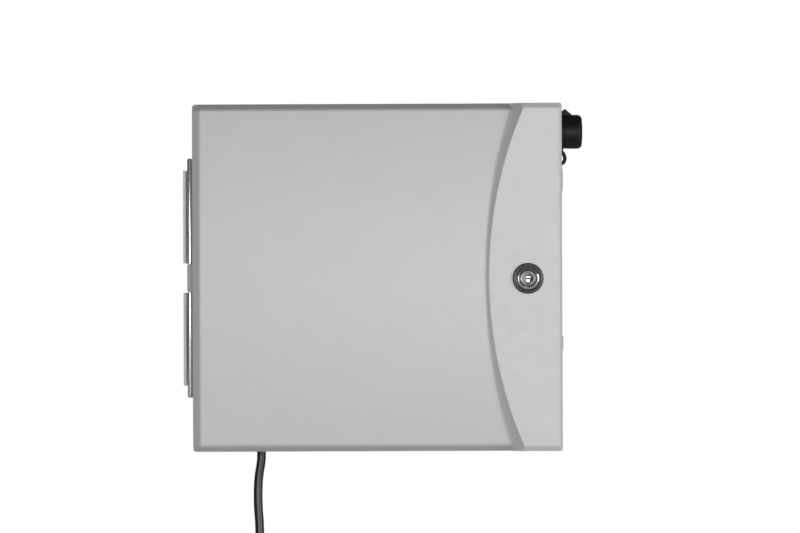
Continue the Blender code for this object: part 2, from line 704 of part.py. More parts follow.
def make_controls():
    """The dial, the buttons and the slide switch, each on its own axis."""
    lift = UNIT_FRONT - (BOARD_FRONT - 0.002)
    skirt = -lift + TOUCH + 0.0003
    profile = [
        (0, skirt + 0.0140),
        (DIAL_RADIUS * 0.60, skirt + 0.0140),
        (DIAL_RADIUS * 0.68, skirt + 0.0130),
        (DIAL_RADIUS * 0.76, skirt + 0.0040),
        (DIAL_RADIUS, skirt + 0.0028),
        (DIAL_RADIUS, skirt),
        (SHAFT_RADIUS, skirt),
        (SHAFT_RADIUS, 0),
        (0, 0),
    ]
    dial_at = DIAL + Vector((0, BOARD_FRONT - 0.002, 0))
    dial = turned("dial_knob", profile, dial_at, "front", BUTTON, steps=36)
    hang("dial_axis", dial_at, dial)

    flange_front = UNIT_FRONT + UNIT_WALL + TOUCH
    for number, name in enumerate(BUTTONS):
        place = Vector((BUTTON_START + BUTTON_PITCH * number, flange_front + 0.0015, BUTTON_ROW))
        height = UNIT_WALL + TOUCH + 0.0015 + 0.0022
        shape = [
            (0, height),
            (BUTTON_RADIUS - 0.0010, height),
            (BUTTON_RADIUS, height - 0.0008),
            (BUTTON_RADIUS, 0.0015),
            (BUTTON_RADIUS + 0.0014, 0.0015),
            (BUTTON_RADIUS + 0.0014, 0),
            (0, 0),
        ]
        button = turned(f"button_{name}", shape, place, "front", BUTTON, steps=24)
        hang(f"button_{name}_axis", place, button)

    place = SWITCH - Vector((SWITCH_TRAVEL / 2, 0, 0))
    across, up = rectangle(place, 0.008, 0.0062)
    slider = block("bypass_switch", across, (UNIT_FRONT - 0.0030, flange_front + 0.001), up, BUTTON)
    across, up = rectangle(place, SWITCH_TRAVEL + 0.012, 0.012)
    join(slider, block("switch_flange", across, (flange_front, flange_front + 0.0015), up))
    hang("switch_axis", place + Vector((0, UNIT_FRONT, 0)), slider)


BATTERY_SIZE = Vector((0.0265, 0.0175, 0.0485))


def make_battery():
    """The battery that keeps the clock, in its tray on the back of the inner panel."""
    plate = PANEL_FRONT + PANEL_THICK + TOUCH
    wall = 0.0015
    low = Vector((UNIT_X - 0.060, plate, UNIT_Z - 0.024))
    outer = low + BATTERY_SIZE + Vector((2 * (wall + SLIP), wall + TOUCH - 0.003, 2 * (wall + SLIP)))
    tray = block("battery_tray", (low.x, outer.x), (low.y, outer.y), (low.z, outer.z), DARK)
    inside = (low.x + wall, outer.x - wall), (low.y + wall, outer.y + 0.01), (low.z + wall, outer.z - wall)
    cut(tray, block("battery_hollow", *inside))
    start = low + Vector((wall + SLIP, wall + TOUCH, wall + SLIP))
    end = start + BATTERY_SIZE
    battery = block("battery", (start.x, end.x), (start.y, end.y), (start.z, end.z), DARK)
    return [tray, battery]


# Backplane, modules and terminals -----------------------------------------------------

TRAY_FRONT = BACK - TOUCH - 0.004
BAR_SECTION = (0.0032, 0.008)


def make_backplane():
    tray_back = BACK - TOUCH
    deep = (TRAY_FRONT, tray_back)
    tray = block("backplane_tray", (TRAY_LEFT, TRAY_RIGHT), deep, (TRAY_BOTTOM, TRAY_TOP), INNER)
    board_front = TRAY_FRONT - TOUCH - BOARD_THICK
    inside = (TRAY_LEFT + 0.004, TRAY_RIGHT - 0.004), (TRAY_BOTTOM + 0.004, TRAY_TOP - 0.004)
    block("backplane_board", inside[0], (board_front, TRAY_FRONT - TOUCH), inside[1], BOARD)

    module_back = board_front - TOUCH
    module_front = module_back - MODULE_DEPTH
    low = TRAY_BOTTOM + 0.008
    start = TRAY_LEFT + (TRAY_RIGHT - TRAY_LEFT - MODULE_PITCH * len(MODULES)) / 2
    for number, name in enumerate(MODULES):
        left = start + MODULE_PITCH * number + (MODULE_PITCH - MODULE_WIDTH) / 2
        body = block(
            name,
            (left, left + MODULE_WIDTH),
            (module_front, module_back),
            (low, low + MODULE_HEIGHT),
            DARK,
            soften=0.001,
        )
        middle = left + MODULE_WIDTH / 2
        grip = (middle - 0.008, middle + 0.008)
        reach = (module_front - 0.006, module_front + 0.001)
        join(body, block(name + "_grip", grip, reach, (low + 0.060, low + 0.064)))
        hang(name + "_axis", (middle, module_back, low), body)

    bar_back = module_front - 2 * TOUCH
    bar_low = low + 0.004
    bar_span = (TRAY_LEFT - BAR_GRIP - BAR_TRAVEL - POST_THICK, TRAY_RIGHT - POST_THICK / 2)
    bar_deep = (bar_back - BAR_SECTION[0], bar_back)
    bar = block("module_lock_bar", bar_span, bar_deep, (bar_low, bar_low + BAR_SECTION[1]), BUTTON)
    grip = (bar_span[0], bar_span[0] + BAR_GRIP)
    grip_deep = (bar_back - 0.010, bar_back - 0.001)
    join(bar, block("bar_grip", grip, grip_deep, (bar_low, bar_low + BAR_SECTION[1])))
    hang("bar_axis", (bar_span[0], bar_back, bar_low), bar)
    window_back = (bar_back - BAR_SECTION[0] - SLIP, bar_back + SLIP)
    window_up = (bar_low - SLIP, bar_low + BAR_SECTION[1] + SLIP)
    for side, left in (("left", TRAY_LEFT), ("right", TRAY_RIGHT - POST_THICK)):
        across = (left, left + POST_THICK)
        up = (bar_low - 0.006, bar_low + BAR_SECTION[1] + 0.006)
        join(tray, block(f"bar_post_{side}", across, (window_back[0] - 0.003, TRAY_FRONT + 0.001), up))
        cut(tray, block(f"bar_slot_{side}", (left - 0.01, left + 0.01), window_back, window_up))


def make_terminals():
    across = (TRAY_LEFT + 0.006, TRAY_RIGHT - 0.006)
    up = (TRAY_BOTTOM - 0.026, TRAY_BOTTOM - 0.006)
    back = BACK - TOUCH
    strip = block("terminal_strip", across, (back - 0.018, back), up, GREEN)
    bays = 12
    pitch = (across[1] - across[0]) / bays
    for number in range(bays):
        middle = across[0] + pitch * (number + 0.5)
        entry = (middle - pitch * 0.33, middle + pitch * 0.33)
        deep = (back - 0.015, back - 0.008)
        cut(strip, block(f"wire_entry_{number}", entry, deep, (up[0] - 0.01, up[0] + 0.010)))
    return strip


def make_transformer():
    left = -INSIDE_X + 0.014
    low = TRAY_BOTTOM
    back = BACK - TOUCH - 0.0112
    stack = (back - CORE_DEPTH, back)
    core = block("transformer_core", (left, left + CORE_WIDTH), stack, (low, low + CORE_HEIGHT), STEEL)
    middle = left + CORE_WIDTH / 2
    limb = CORE_WIDTH / 3
    window = CORE_WIDTH / 6
    yoke = (CORE_HEIGHT - CORE_WIDTH / 2) / 2
    opening = (low + yoke, low + CORE_HEIGHT - yoke)
    for name, start in (("left", middle - limb / 2 - window), ("right", middle + limb / 2)):
        through = (back - CORE_DEPTH - 0.01, back + 0.01)
        cut(core, block(f"core_window_{name}", (start, start + window), through, opening))
    reach = limb / 2 + window - 2 * TOUCH
    deep = (back - CORE_DEPTH - window + 2 * TOUCH, back + window - 2 * TOUCH)
    up = (opening[0] + 2 * TOUCH, opening[1] - 2 * TOUCH)
    coil = block("transformer_coil", (middle - reach, middle + reach), deep, up, COPPER, soften=0.002)
    inner = (middle - limb / 2 - 2 * TOUCH, middle + limb / 2 + 2 * TOUCH)
    around = (back - CORE_DEPTH - 2 * TOUCH, back + 2 * TOUCH)
    cut(coil, block("coil_hole", inner, around, (up[0] - 0.01, up[1] + 0.01)))

    thick = 0.0012
    top = low + CORE_HEIGHT + TOUCH
    foot = BACK - TOUCH
    side_span = (left - TOUCH - thick, left - TOUCH)
    tall = (low - TOUCH - thick, top + thick)
    deep = (back - CORE_DEPTH, foot)
    bracket = block("transformer_bracket", side_span, deep, tall, STEEL)
    for name, edge, side in (("upper", top, 1), ("lower", low - TOUCH, -1)):
        span = sorted((edge, edge + side * thick))
        base = sorted((edge, edge + side * 0.012))
        join(bracket, block(f"bracket_{name}", (left - 0.0005, left + CORE_WIDTH), deep, span))
        foot_across = (left + 0.004, left + CORE_WIDTH - 0.004)
        join(bracket, block(f"foot_{name}", foot_across, (foot - thick, foot), base))


# Mains corner -------------------------------------------------------------------------

def make_mains_corner():
    left = -INSIDE_X + 2 * TOUCH
    floor = -INSIDE_Z + 2 * TOUCH
    right = left + BOX_WIDTH
    top = floor + BOX_HEIGHT
    back = BACK - TOUCH
    front = back - BOX_DEPTH
    thick = 0.002
    outline = [
        (left, top - thick),
        (right - thick, top - thick),
        (right - thick, floor),
        (right, floor),
        (right, top),
        (left, top),
    ]
    box = prism("junction_box", [(x, z) for x, z in outline], front, back, "xz", INNER)
    corners = {"upper": (left + 0.005, top - 0.005), "lower": (right - 0.005, floor + 0.005)}
    for name, (across, up) in corners.items():
        size = 0.0049
        boss_across = (across - size, across + size)
        boss = block(f"screw_boss_{name}", boss_across, (front, back - 0.002), (up - size, up + size))
        join(box, boss)
    cover_back = front - TOUCH
    cover = block("junction_cover", (left, right), (cover_back - thick, cover_back), (floor, top), INNER)
    for name, (across, up) in corners.items():
        start = Vector((across, front + 0.012, up))
        hole = SCREW_RADIUS + SLIP
        cut(box, drum(f"boss_hole_{name}", hole, 0.014, start, "front", sides=16))
        cut(cover, drum(f"cover_hole_{name}", hole, 0.020, start, "front", sides=16))
        head = Vector((across, cover_back - thick - TOUCH, up))
        screw = drum(f"cover_screw_{name}", SCREW_HEAD, 0.0016, head, "front", STEEL, sides=20)
        shank_at = head + Vector((0, 0.0112, 0))
        shank = drum(f"cover_screw_shank_{name}", SCREW_RADIUS, 0.012, shank_at, "front", sides=16)
        join(screw, shank)

    block_low = top - 0.040
    terminal = block(
        "mains_terminal",
        (left + 0.020, left + 0.062),
        (back - 0.020, back),
        (block_low, block_low + 0.016),
        BUTTON,
    )
    for number in range(3):
        middle = left + 0.027 + 0.014 * number
        entry = (middle - 0.004, middle + 0.004)
        deep = (back - 0.017, back - 0.010)
        cut(terminal, block(f"mains_entry_{number}", entry, deep, (block_low - 0.01, block_low + 0.010)))
    lug_span = (left + 0.070, left + 0.084)
    lug = block("ground_lug", lug_span, (back - 0.010, back), (block_low, block_low + 0.012), STEEL)
    entry = (left + 0.074, left + 0.080)
    cut(lug, block("lug_entry", entry, (back - 0.007, back - 0.002), (block_low - 0.01, block_low + 0.02)))


def make_relief():
    """The strain relief: a flange inside the floor, a neck in its hole and a tapered nose below."""
    tip = -CABINET_Z - RELIEF_NOSE
    floor_top = -INSIDE_Z + TOUCH - tip
    floor_under = -CABINET_Z - TOUCH - tip
    profile = [
        (0, RELIEF_LENGTH),
        (CORD_RADIUS + 0.0010, RELIEF_LENGTH),
        (CORD_RADIUS + 0.0016, floor_top + 0.006),
        (RELIEF_NECK + 0.0025, floor_top + 0.004),
        (RELIEF_NECK + 0.0025, floor_top),
        (RELIEF_NECK, floor_top),
        (RELIEF_NECK, floor_under),
        (RELIEF_NECK + 0.0012, floor_under),
        (RELIEF_NECK + 0.0012, floor_under - 0.0012),
        (CORD_RADIUS + 0.0008, 0),
        (0, 0),
    ]
    turned("strain_relief", profile, (RELIEF.x, RELIEF.y, tip), "up", RUBBER)


def plug(name, radius, head, at, facing):
    """A press-in hole plug: a domed head outside, and its neck through the wall."""
    neck = WALL + 2 * TOUCH + 0.002
    profile = [
        (0, head),
        (radius - 0.0012, head - 0.0002),
        (radius, head - 0.0012),
        (radius, 0),
        (radius - PLUG_NECK, 0),
        (radius - PLUG_NECK, -neck),
        (0, -neck),
    ]
    turned(name, profile, at, facing, CASE, steps=28)


def make_plugs():
    for name, from_right, radius in CONDUITS:
        under = (INSIDE_X - from_right, -CONDUIT_BACK, -CABINET_Z - TOUCH)
        plug(name, radius, FLOOR_PLUG_HEAD, under, "down")
    for name, down, radius in SIDE_PLUGS:
        beside = (CABINET_X + TOUCH, PORT.y, INSIDE_Z - down)
        plug(name, radius, SIDE_PLUG_HEAD, beside, "right")


def make_port():
    """The side socket with its collar, and the rubber cap that pulls off it."""
    collar = 0.0020
    bore = PORT_RADIUS - 0.0030
    socket = [
        (0, 0.0040),
        (bore, 0.0040),
        (bore, 0.0150),
        (PORT_RADIUS, 0.0150),
        (PORT_RADIUS, collar + TOUCH),
        (PORT_RADIUS + 0.0025, collar + TOUCH),
        (PORT_RADIUS + 0.0025, TOUCH),
        (PORT_RADIUS, TOUCH),
        (PORT_RADIUS, -0.0150),
        (0, -0.0150),
    ]
    turned("port_socket", socket, PORT, "right", DARK)
    hollow = PORT_RADIUS + SLIP
    length = CAP_LENGTH
    cap_profile = [
        (0, length),
        (CAP_RADIUS * 0.75, length - 0.0006),
        (CAP_RADIUS - 0.0008, length - 0.0022),
        (CAP_RADIUS, length - 0.0040),
        (CAP_RADIUS, 0.0048),
        (CAP_RADIUS + 0.0008, 0.0046),
        (CAP_RADIUS + 0.0008, 0),
        (hollow, 0),
        (hollow, 0.0140),
        (0, 0.0140),
    ]
    cap_at = PORT + Vector((collar + 2 * TOUCH + 0.0004, 0, 0))
    cap = turned("port_cap", cap_profile, cap_at, "right", RUBBER, steps=32)
    base = cap_at.x
    rim = PORT.z + CAP_RADIUS
    tab = [
        (base + 0.0002, rim - 0.003),
        (base + 0.0118, rim - 0.003),
        (base + 0.0116, rim + 0.0003),
        (base + 0.0066, rim + 0.0044),
        (base + 0.0056, rim + 0.0050),
        (base + 0.0044, rim + 0.0048),
        (base + 0.0024, rim + 0.0028),
        (base + 0.0002, rim + 0.0012),
    ]
    join(cap, prism("cap_tab", tab, PORT.y - 0.0030, PORT.y + 0.0030, "xz"))
    hang("cap_axis", cap_at, cap)

    bend = 0.0039
    thick = 0.0026
    middle = Vector((base + 0.0004, 0, PORT.z - CAP_RADIUS - 0.0008 - 2 * TOUCH - bend - thick))
    outline = []
    for reach, turn in ((bend + thick, range(7)), (bend, reversed(range(7)))):
        for step in turn:
            angle = math.radians(82 - 164 * step / 6)
            outline.append((middle.x + reach * math.cos(angle), middle.z + reach * math.sin(angle)))
    low = middle.z - bend - thick * 0.5
    strap = prism("cap_tether", outline, PORT.y - 0.0030, PORT.y + 0.0030, "xz", RUBBER)
    stud = (CABINET_X + TOUCH, middle.x + 0.0022)
    wide = (PORT.y - 0.0030, PORT.y + 0.0030)
    join(strap, block("tether_stud", stud, wide, (low - thick / 2, low + thick / 2 + 0.0004)))


# Mains lead ---------------------------------------------------------------------------


def smooth_route(points, spacing):
    """Points a set distance apart on a smooth curve through the route's own points."""
    points = [Vector(point) for point in points]
    ends = [2 * points[0] - points[1]] + points + [2 * points[-1] - points[-2]]
    fine = []
    for a, b, c, d in zip(ends, ends[1:], ends[2:], ends[3:]):
        for step in range(20):
            t = step / 20
            bend = 2 * a - 5 * b + 4 * c - d
            twist = 3 * (b - c) + d - a
            fine.append((2 * b + (c - a) * t + bend * t**2 + twist * t**3) / 2)
    fine.append(points[-1])
    spread = [fine[0]]
    for point in fine:
        if (point - spread[-1]).length >= spacing:
            spread.append(point)
    if (spread[-1] - fine[-1]).length > spacing / 2:
        spread.append(fine[-1])
    return spread


def make_lead():
    curve = bpy.data.curves.new("cord", "CURVE")
    curve.dimensions = "3D"
    curve.bevel_depth = CORD_RADIUS
    curve.bevel_resolution = 3
    curve.use_fill_caps = True
    spline = curve.splines.new("POLY")
    route = smooth_route(CORD_POINTS, 3 * CORD_RADIUS)
    spline.points.add(len(route) - 1)
    for point, place in zip(spline.points, route):
        point.co = (*place, 1)
    curve.materials.append(RUBBER)
    PARTS.objects.link(bpy.data.objects.new("cord", curve))

    inner = COIL_INNER_TURN - CORD_RADIUS
    outer = COIL_OUTER_TURN + CORD_RADIUS
    half = 2 * CORD_RADIUS
    ring = [(inner, half), (outer, half), (outer, -half), (inner, -half)]
    middle = Vector(CORD_COIL_MIDDLE)
    turned("cord_coil", ring, middle, "front", RUBBER, ring=True, steps=36)

    gap = 0.0008
    band = 0.0016
    top = (middle.z + inner - gap, middle.z + outer + gap)
    deep = (middle.y - half - gap, middle.y + half + gap)
    width = (middle.x - 0.005, middle.x + 0.005)
    tie = block("cord_tie", width, (deep[0] - band, deep[1] + band), (top[0] - band, top[1] + band), DARK)
    cut(tie, block("tie_hole", (width[0] - 0.01, width[1] + 0.01), deep, top))

    hangs = Vector((middle.x - COIL_OUTER_TURN, middle.y + CORD_RADIUS, middle.z - 0.0330))
    plug_profile = [
        (0, 0),
        (CORD_RADIUS + 0.0008, 0),
        (CORD_RADIUS + 0.0024, -0.012),
        (0.0105, -0.018),
        (0.0125, -0.024),
        (0.0125, -0.038),
        (0, -0.038),
    ]
    body = turned("cord_plug", plug_profile, hangs, "up", RUBBER, steps=24)
    face = hangs.z - 0.038
    for side in (-1, 1):
        blade = (hangs.x + side * 0.00635 - 0.00075, hangs.x + side * 0.00635 + 0.00075)
        place = (hangs.y - 0.0045, hangs.y + 0.0018)
        join(body, block(f"blade_{side}", blade, place, (face - 0.016, face + 0.002)))
    pin_at = Vector((hangs.x, hangs.y + 0.0075, face - 0.018))
    join(body, drum("ground_pin", 0.0024, 0.020, pin_at, sides=12))


def make_all():
    door_parts = [make_door()] + make_lock()
    hang("door_axis", HINGE, *door_parts)
    make_cabinet()
    make_gasket()
    make_hinge_fixed()
    panel_parts = [make_panel()] + make_unit() + make_battery()
    hang("panel_axis", PANEL_AXIS, *panel_parts)
    make_controls()
    make_backplane()
    make_terminals()
    make_transformer()
    make_mains_corner()
    make_relief()
    make_plugs()
    make_port()
    make_lead()


make_all()
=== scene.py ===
import math

import bmesh
import bpy
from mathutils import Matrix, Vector


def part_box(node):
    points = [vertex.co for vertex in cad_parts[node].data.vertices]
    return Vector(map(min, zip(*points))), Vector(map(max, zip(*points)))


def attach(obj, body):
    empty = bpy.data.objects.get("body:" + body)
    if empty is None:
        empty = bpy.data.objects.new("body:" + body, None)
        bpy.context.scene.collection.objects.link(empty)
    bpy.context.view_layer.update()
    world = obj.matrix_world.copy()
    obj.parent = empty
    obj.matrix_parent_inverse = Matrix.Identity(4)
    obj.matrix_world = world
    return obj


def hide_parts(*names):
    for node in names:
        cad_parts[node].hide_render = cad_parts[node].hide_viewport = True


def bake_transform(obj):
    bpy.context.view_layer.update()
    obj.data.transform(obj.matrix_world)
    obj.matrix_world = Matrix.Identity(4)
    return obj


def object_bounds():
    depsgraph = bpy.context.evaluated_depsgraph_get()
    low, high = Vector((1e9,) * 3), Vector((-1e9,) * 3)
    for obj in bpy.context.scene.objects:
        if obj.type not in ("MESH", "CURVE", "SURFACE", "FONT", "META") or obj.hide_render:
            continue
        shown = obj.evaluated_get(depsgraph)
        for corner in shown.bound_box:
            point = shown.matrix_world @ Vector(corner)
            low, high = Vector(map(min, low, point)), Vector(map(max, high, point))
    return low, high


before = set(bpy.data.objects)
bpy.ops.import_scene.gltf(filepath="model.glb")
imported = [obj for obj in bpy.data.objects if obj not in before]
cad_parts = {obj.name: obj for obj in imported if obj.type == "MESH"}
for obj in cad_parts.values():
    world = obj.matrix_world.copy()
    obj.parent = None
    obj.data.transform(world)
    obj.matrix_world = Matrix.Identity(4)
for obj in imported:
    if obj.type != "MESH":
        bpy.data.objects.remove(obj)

cad_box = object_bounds()

# Studio -------------------------------------------------------------------------------
# The controller hangs square to the view on a plain white ground. Soft lamps stand in
# front, to the right, to the left and behind. The pale floor lies under the lead's plug.

VIEW_CENTRE = (0.02, 0.0096)
VIEW_DISTANCE = 6.0
FRAME_WIDTH = 0.7
SENSOR = 36.0
ROLL = math.radians(0.22)
DOOR_FRONT = -0.127

lens = bpy.data.cameras.new("camera")
lens.sensor_width = SENSOR
lens.lens = SENSOR * VIEW_DISTANCE / FRAME_WIDTH
lens.clip_end = 60
camera = bpy.data.objects.new("camera", lens)
camera.location = (VIEW_CENTRE[0], DOOR_FRONT - VIEW_DISTANCE, VIEW_CENTRE[1])
camera.rotation_euler = (math.pi / 2, ROLL, 0)
bpy.context.scene.collection.objects.link(camera)
bpy.context.scene.camera = camera
bpy.context.scene.view_settings.view_transform = "Standard"


def soft_lamp(name, at, target, size, power):
    """A square studio lamp at a point, turned towards another."""
    light = bpy.data.lights.new(name, "AREA")
    light.shape = "RECTANGLE"
    light.size, light.size_y = size
    light.energy = power
    lamp = bpy.data.objects.new(name, light)
    lamp.location = at
    lamp.rotation_euler = (Vector(target) - Vector(at)).to_track_quat("-Z", "Y").to_euler()
    bpy.context.scene.collection.objects.link(lamp)


soft_lamp("front_lamp", (0.34, -3.0, 0.03), (0, -0.1, 0), (0.9, 0.4), 21)
soft_lamp("right_lamp", (2.4, -1.8, 0.1), (0.1, -0.1, 0), (0.8, 1.4), 36)
soft_lamp("left_lamp", (-1.2, -2.7, 0.05), (-0.1, -0.1, 0), (0.5, 0.7), 15)
soft_lamp("back_lamp", (-1.0, 3.0, 0.9), (0, 0, -0.1), (3.2, 2.2), 44)

world = bpy.data.worlds.new("white_room")
world.use_nodes = True
room = world.node_tree
ground = room.nodes["Background"]
ground.inputs["Strength"].default_value = 0.1
seen = room.nodes.new("ShaderNodeBackground")
seen.inputs["Strength"].default_value = 1.0
seen.inputs["Color"].default_value = (1, 1, 1, 1)
ground.inputs["Color"].default_value = (0.96, 0.98, 1.0, 1)
ray = room.nodes.new("ShaderNodeLightPath")
choose = room.nodes.new("ShaderNodeMixShader")
room.links.new(ray.outputs["Is Camera Ray"], choose.inputs[0])
room.links.new(ground.outputs[0], choose.inputs[1])
room.links.new(seen.outputs[0], choose.inputs[2])
room.links.new(choose.outputs[0], room.nodes["World Output"].inputs[0])
bpy.context.scene.world = world

floor_mesh = bpy.data.meshes.new("floor")
disc = bmesh.new()
bmesh.ops.create_circle(disc, cap_ends=True, radius=4.0, segments=96)
disc.to_mesh(floor_mesh)
disc.free()
floor = bpy.data.objects.new("floor", floor_mesh)
floor.location = (0, 0, cad_box[0].z - 0.0005)
bpy.context.scene.collection.objects.link(floor)


def surface(
    name, colour, rough, grain=900.0, depth=0.00002, mottle=0.04, metal=0.0, stretch=(1, 1, 1),
    scuff=0.0, scuff_colour=(0.8, 0.8, 0.8), shine=0.5
):
    """A finish with a fine grain, faint mottling and uneven gloss, and light scuffs if asked."""
    made = bpy.data.materials.new(name)
    made.use_nodes = True
    tree = made.node_tree
    shader = tree.nodes["Principled BSDF"]
    shader.inputs["Metallic"].default_value = metal
    shader.inputs["Specular IOR Level"].default_value = shine
    place = tree.nodes.new("ShaderNodeTexCoord")
    run = tree.nodes.new("ShaderNodeMapping")
    run.inputs["Scale"].default_value = stretch
    tree.links.new(place.outputs["Object"], run.inputs["Vector"])

    def noise(scale, detail):
        made_noise = tree.nodes.new("ShaderNodeTexNoise")
        made_noise.inputs["Scale"].default_value = scale
        made_noise.inputs["Detail"].default_value = detail
        tree.links.new(run.outputs["Vector"], made_noise.inputs["Vector"])
        return made_noise.outputs["Fac"]

    tint = tree.nodes.new("ShaderNodeMix")
    tint.data_type = "RGBA"
    tint.inputs["A"].default_value = (*[c * (1 - mottle) for c in colour], 1)
    tint.inputs["B"].default_value = (*[min(1, c * (1 + mottle)) for c in colour], 1)
    tree.links.new(noise(38, 5), tint.inputs["Factor"])
    colour_out = tint.outputs["Result"]
    if scuff:
        ramp = tree.nodes.new("ShaderNodeMapRange")
        ramp.inputs["From Min"].default_value = 0.62
        ramp.inputs["From Max"].default_value = 0.74
        ramp.inputs["To Max"].default_value = scuff
        tree.links.new(noise(140, 8), ramp.inputs["Value"])
        rubbed = tree.nodes.new("ShaderNodeMix")
        rubbed.data_type = "RGBA"
        rubbed.inputs["B"].default_value = (*scuff_colour, 1)
        tree.links.new(ramp.outputs["Result"], rubbed.inputs["Factor"])
        tree.links.new(colour_out, rubbed.inputs["A"])
        colour_out = rubbed.outputs["Result"]
    tree.links.new(colour_out, shader.inputs["Base Color"])
    gloss = tree.nodes.new("ShaderNodeMapRange")
    gloss.inputs["To Min"].default_value = max(0.02, rough - 0.07)
    gloss.inputs["To Max"].default_value = rough + 0.07
    tree.links.new(noise(120, 4), gloss.inputs["Value"])
    tree.links.new(gloss.outputs["Result"], shader.inputs["Roughness"])
    bump = tree.nodes.new("ShaderNodeBump")
    bump.inputs["Strength"].default_value = 1.0
    bump.inputs["Distance"].default_value = depth
    tree.links.new(noise(grain, 3), bump.inputs["Height"])
    tree.links.new(bump.outputs["Normal"], shader.inputs["Normal"])
    return made


pale_floor = surface("pale_floor", (0.86, 0.86, 0.86), 0.7, 300, 0.00001, 0.01)
lift = pale_floor.node_tree.nodes["Principled BSDF"]
lift.inputs["Emission Color"].default_value = (0.42, 0.42, 0.42, 1)
pale_floor.node_tree.links.new(
    pale_floor.node_tree.nodes.new("ShaderNodeLightPath").outputs["Is Camera Ray"],
    lift.inputs["Emission Strength"]
)
floor_mesh.materials.append(pale_floor)

# Mains lead ---------------------------------------------------------------------------
# A 1.7 m round three-core lead in glossy black PVC. It drops out of the cabinet's floor,
# and the spare length hangs in a flat coil held by a strap, its plug beside the coil.

CORD_RADIUS = 0.004
COIL_MIDDLE = Vector((-0.1, -0.046, -0.322))
CORD_POINTS = (
    (-0.1035, -0.046, -0.153),
    (-0.1036, -0.046, -0.161),
    (-0.1058, -0.0462, -0.176),
    (-0.1066, -0.0465, -0.19),
    (-0.1063, -0.047, -0.205),
    (-0.1054, -0.0477, -0.219),
    (-0.1056, -0.0485, -0.231),
    (-0.1085, -0.0493, -0.243),
    (-0.114, -0.0499, -0.253),
    (-0.1172, -0.05, -0.2567),
)

black_pvc = surface(
    "black_pvc", (0.012, 0.012, 0.013), 0.3, 500, 0.00003, 0.25, scuff=0.1, scuff_colour=(0.1, 0.1, 0.1)
)


def lead_route():
    """The lead's centre line: down, into the coil on its rear column, and out on its front one."""
    middle = COIL_MIDDLE
    points = [Vector(p) for p in CORD_POINTS]
    points.append(Vector((-0.129, -0.05, -0.269)))
    turns_in = 2 + 9 / 16
    outer, inner = 0.058, 0.038
    steps = round(turns_in * 24)
    start = math.radians(135)
    for step in range(steps + 1):
        share = step / steps
        angle = start + turns_in * 2 * math.pi * share
        radius = outer + (inner - outer) * share
        points.append(
            Vector((middle.x + radius * math.cos(angle), -0.05, middle.z + radius * math.sin(angle)))
        )
    start = start + turns_in * 2 * math.pi
    end = math.radians(180) + 2 * math.pi * 5
    sweep = end - start
    steps = round(sweep / (2 * math.pi) * 24)
    for step in range(1, steps + 1):
        share = step / steps
        angle = start + sweep * share
        radius = inner + (outer - inner) * max(0, share * 1.06 - 0.06)
        ease = min(1, step / 7)
        column = -0.05 + 0.008 * ease * ease * (3 - 2 * ease)
        points.append(
            Vector((middle.x + radius * math.cos(angle), column, middle.z + radius * math.sin(angle)))
        )
    for drop in (0.01, 0.021, 0.033):
        points.append(Vector((middle.x - outer, -0.042, middle.z - drop)))
    return points


route = lead_route()
line = bpy.data.curves.new("mains_lead", "CURVE")
line.dimensions = "3D"
line.bevel_depth = CORD_RADIUS - 0.00002
line.bevel_resolution = 7
line.use_fill_caps = True
line.resolution_u = 4
spline = line.splines.new("BEZIER")
spline.bezier_points.add(len(route) - 1)
for knot, point in zip(spline.bezier_points, route):
    knot.co = point
    knot.handle_left_type = knot.handle_right_type = "AUTO"
line.materials.append(black_pvc)
lead = bpy.data.objects.new("mains_lead", line)
bpy.context.scene.collection.objects.link(lead)
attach(lead, "cabinet")
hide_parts("cord", "cord_coil")

# Strap round the coil ------------------------------------------------------------------
# A woven hook-and-loop strap, 10 mm wide, wrapped once round the coil's top and pressed
# shut on itself with a short tail.

FACINGS = {
    "front": ((1, 0, 0), (0, 0, 1)),
    "back": ((-1, 0, 0), (0, 0, 1)),
    "right": ((0, 1, 0), (0, 0, 1)),
    "left": ((0, -1, 0), (0, 0, 1)),
    "up": ((1, 0, 0), (0, 1, 0)),
    "down": ((1, 0, 0), (0, -1, 0)),
}


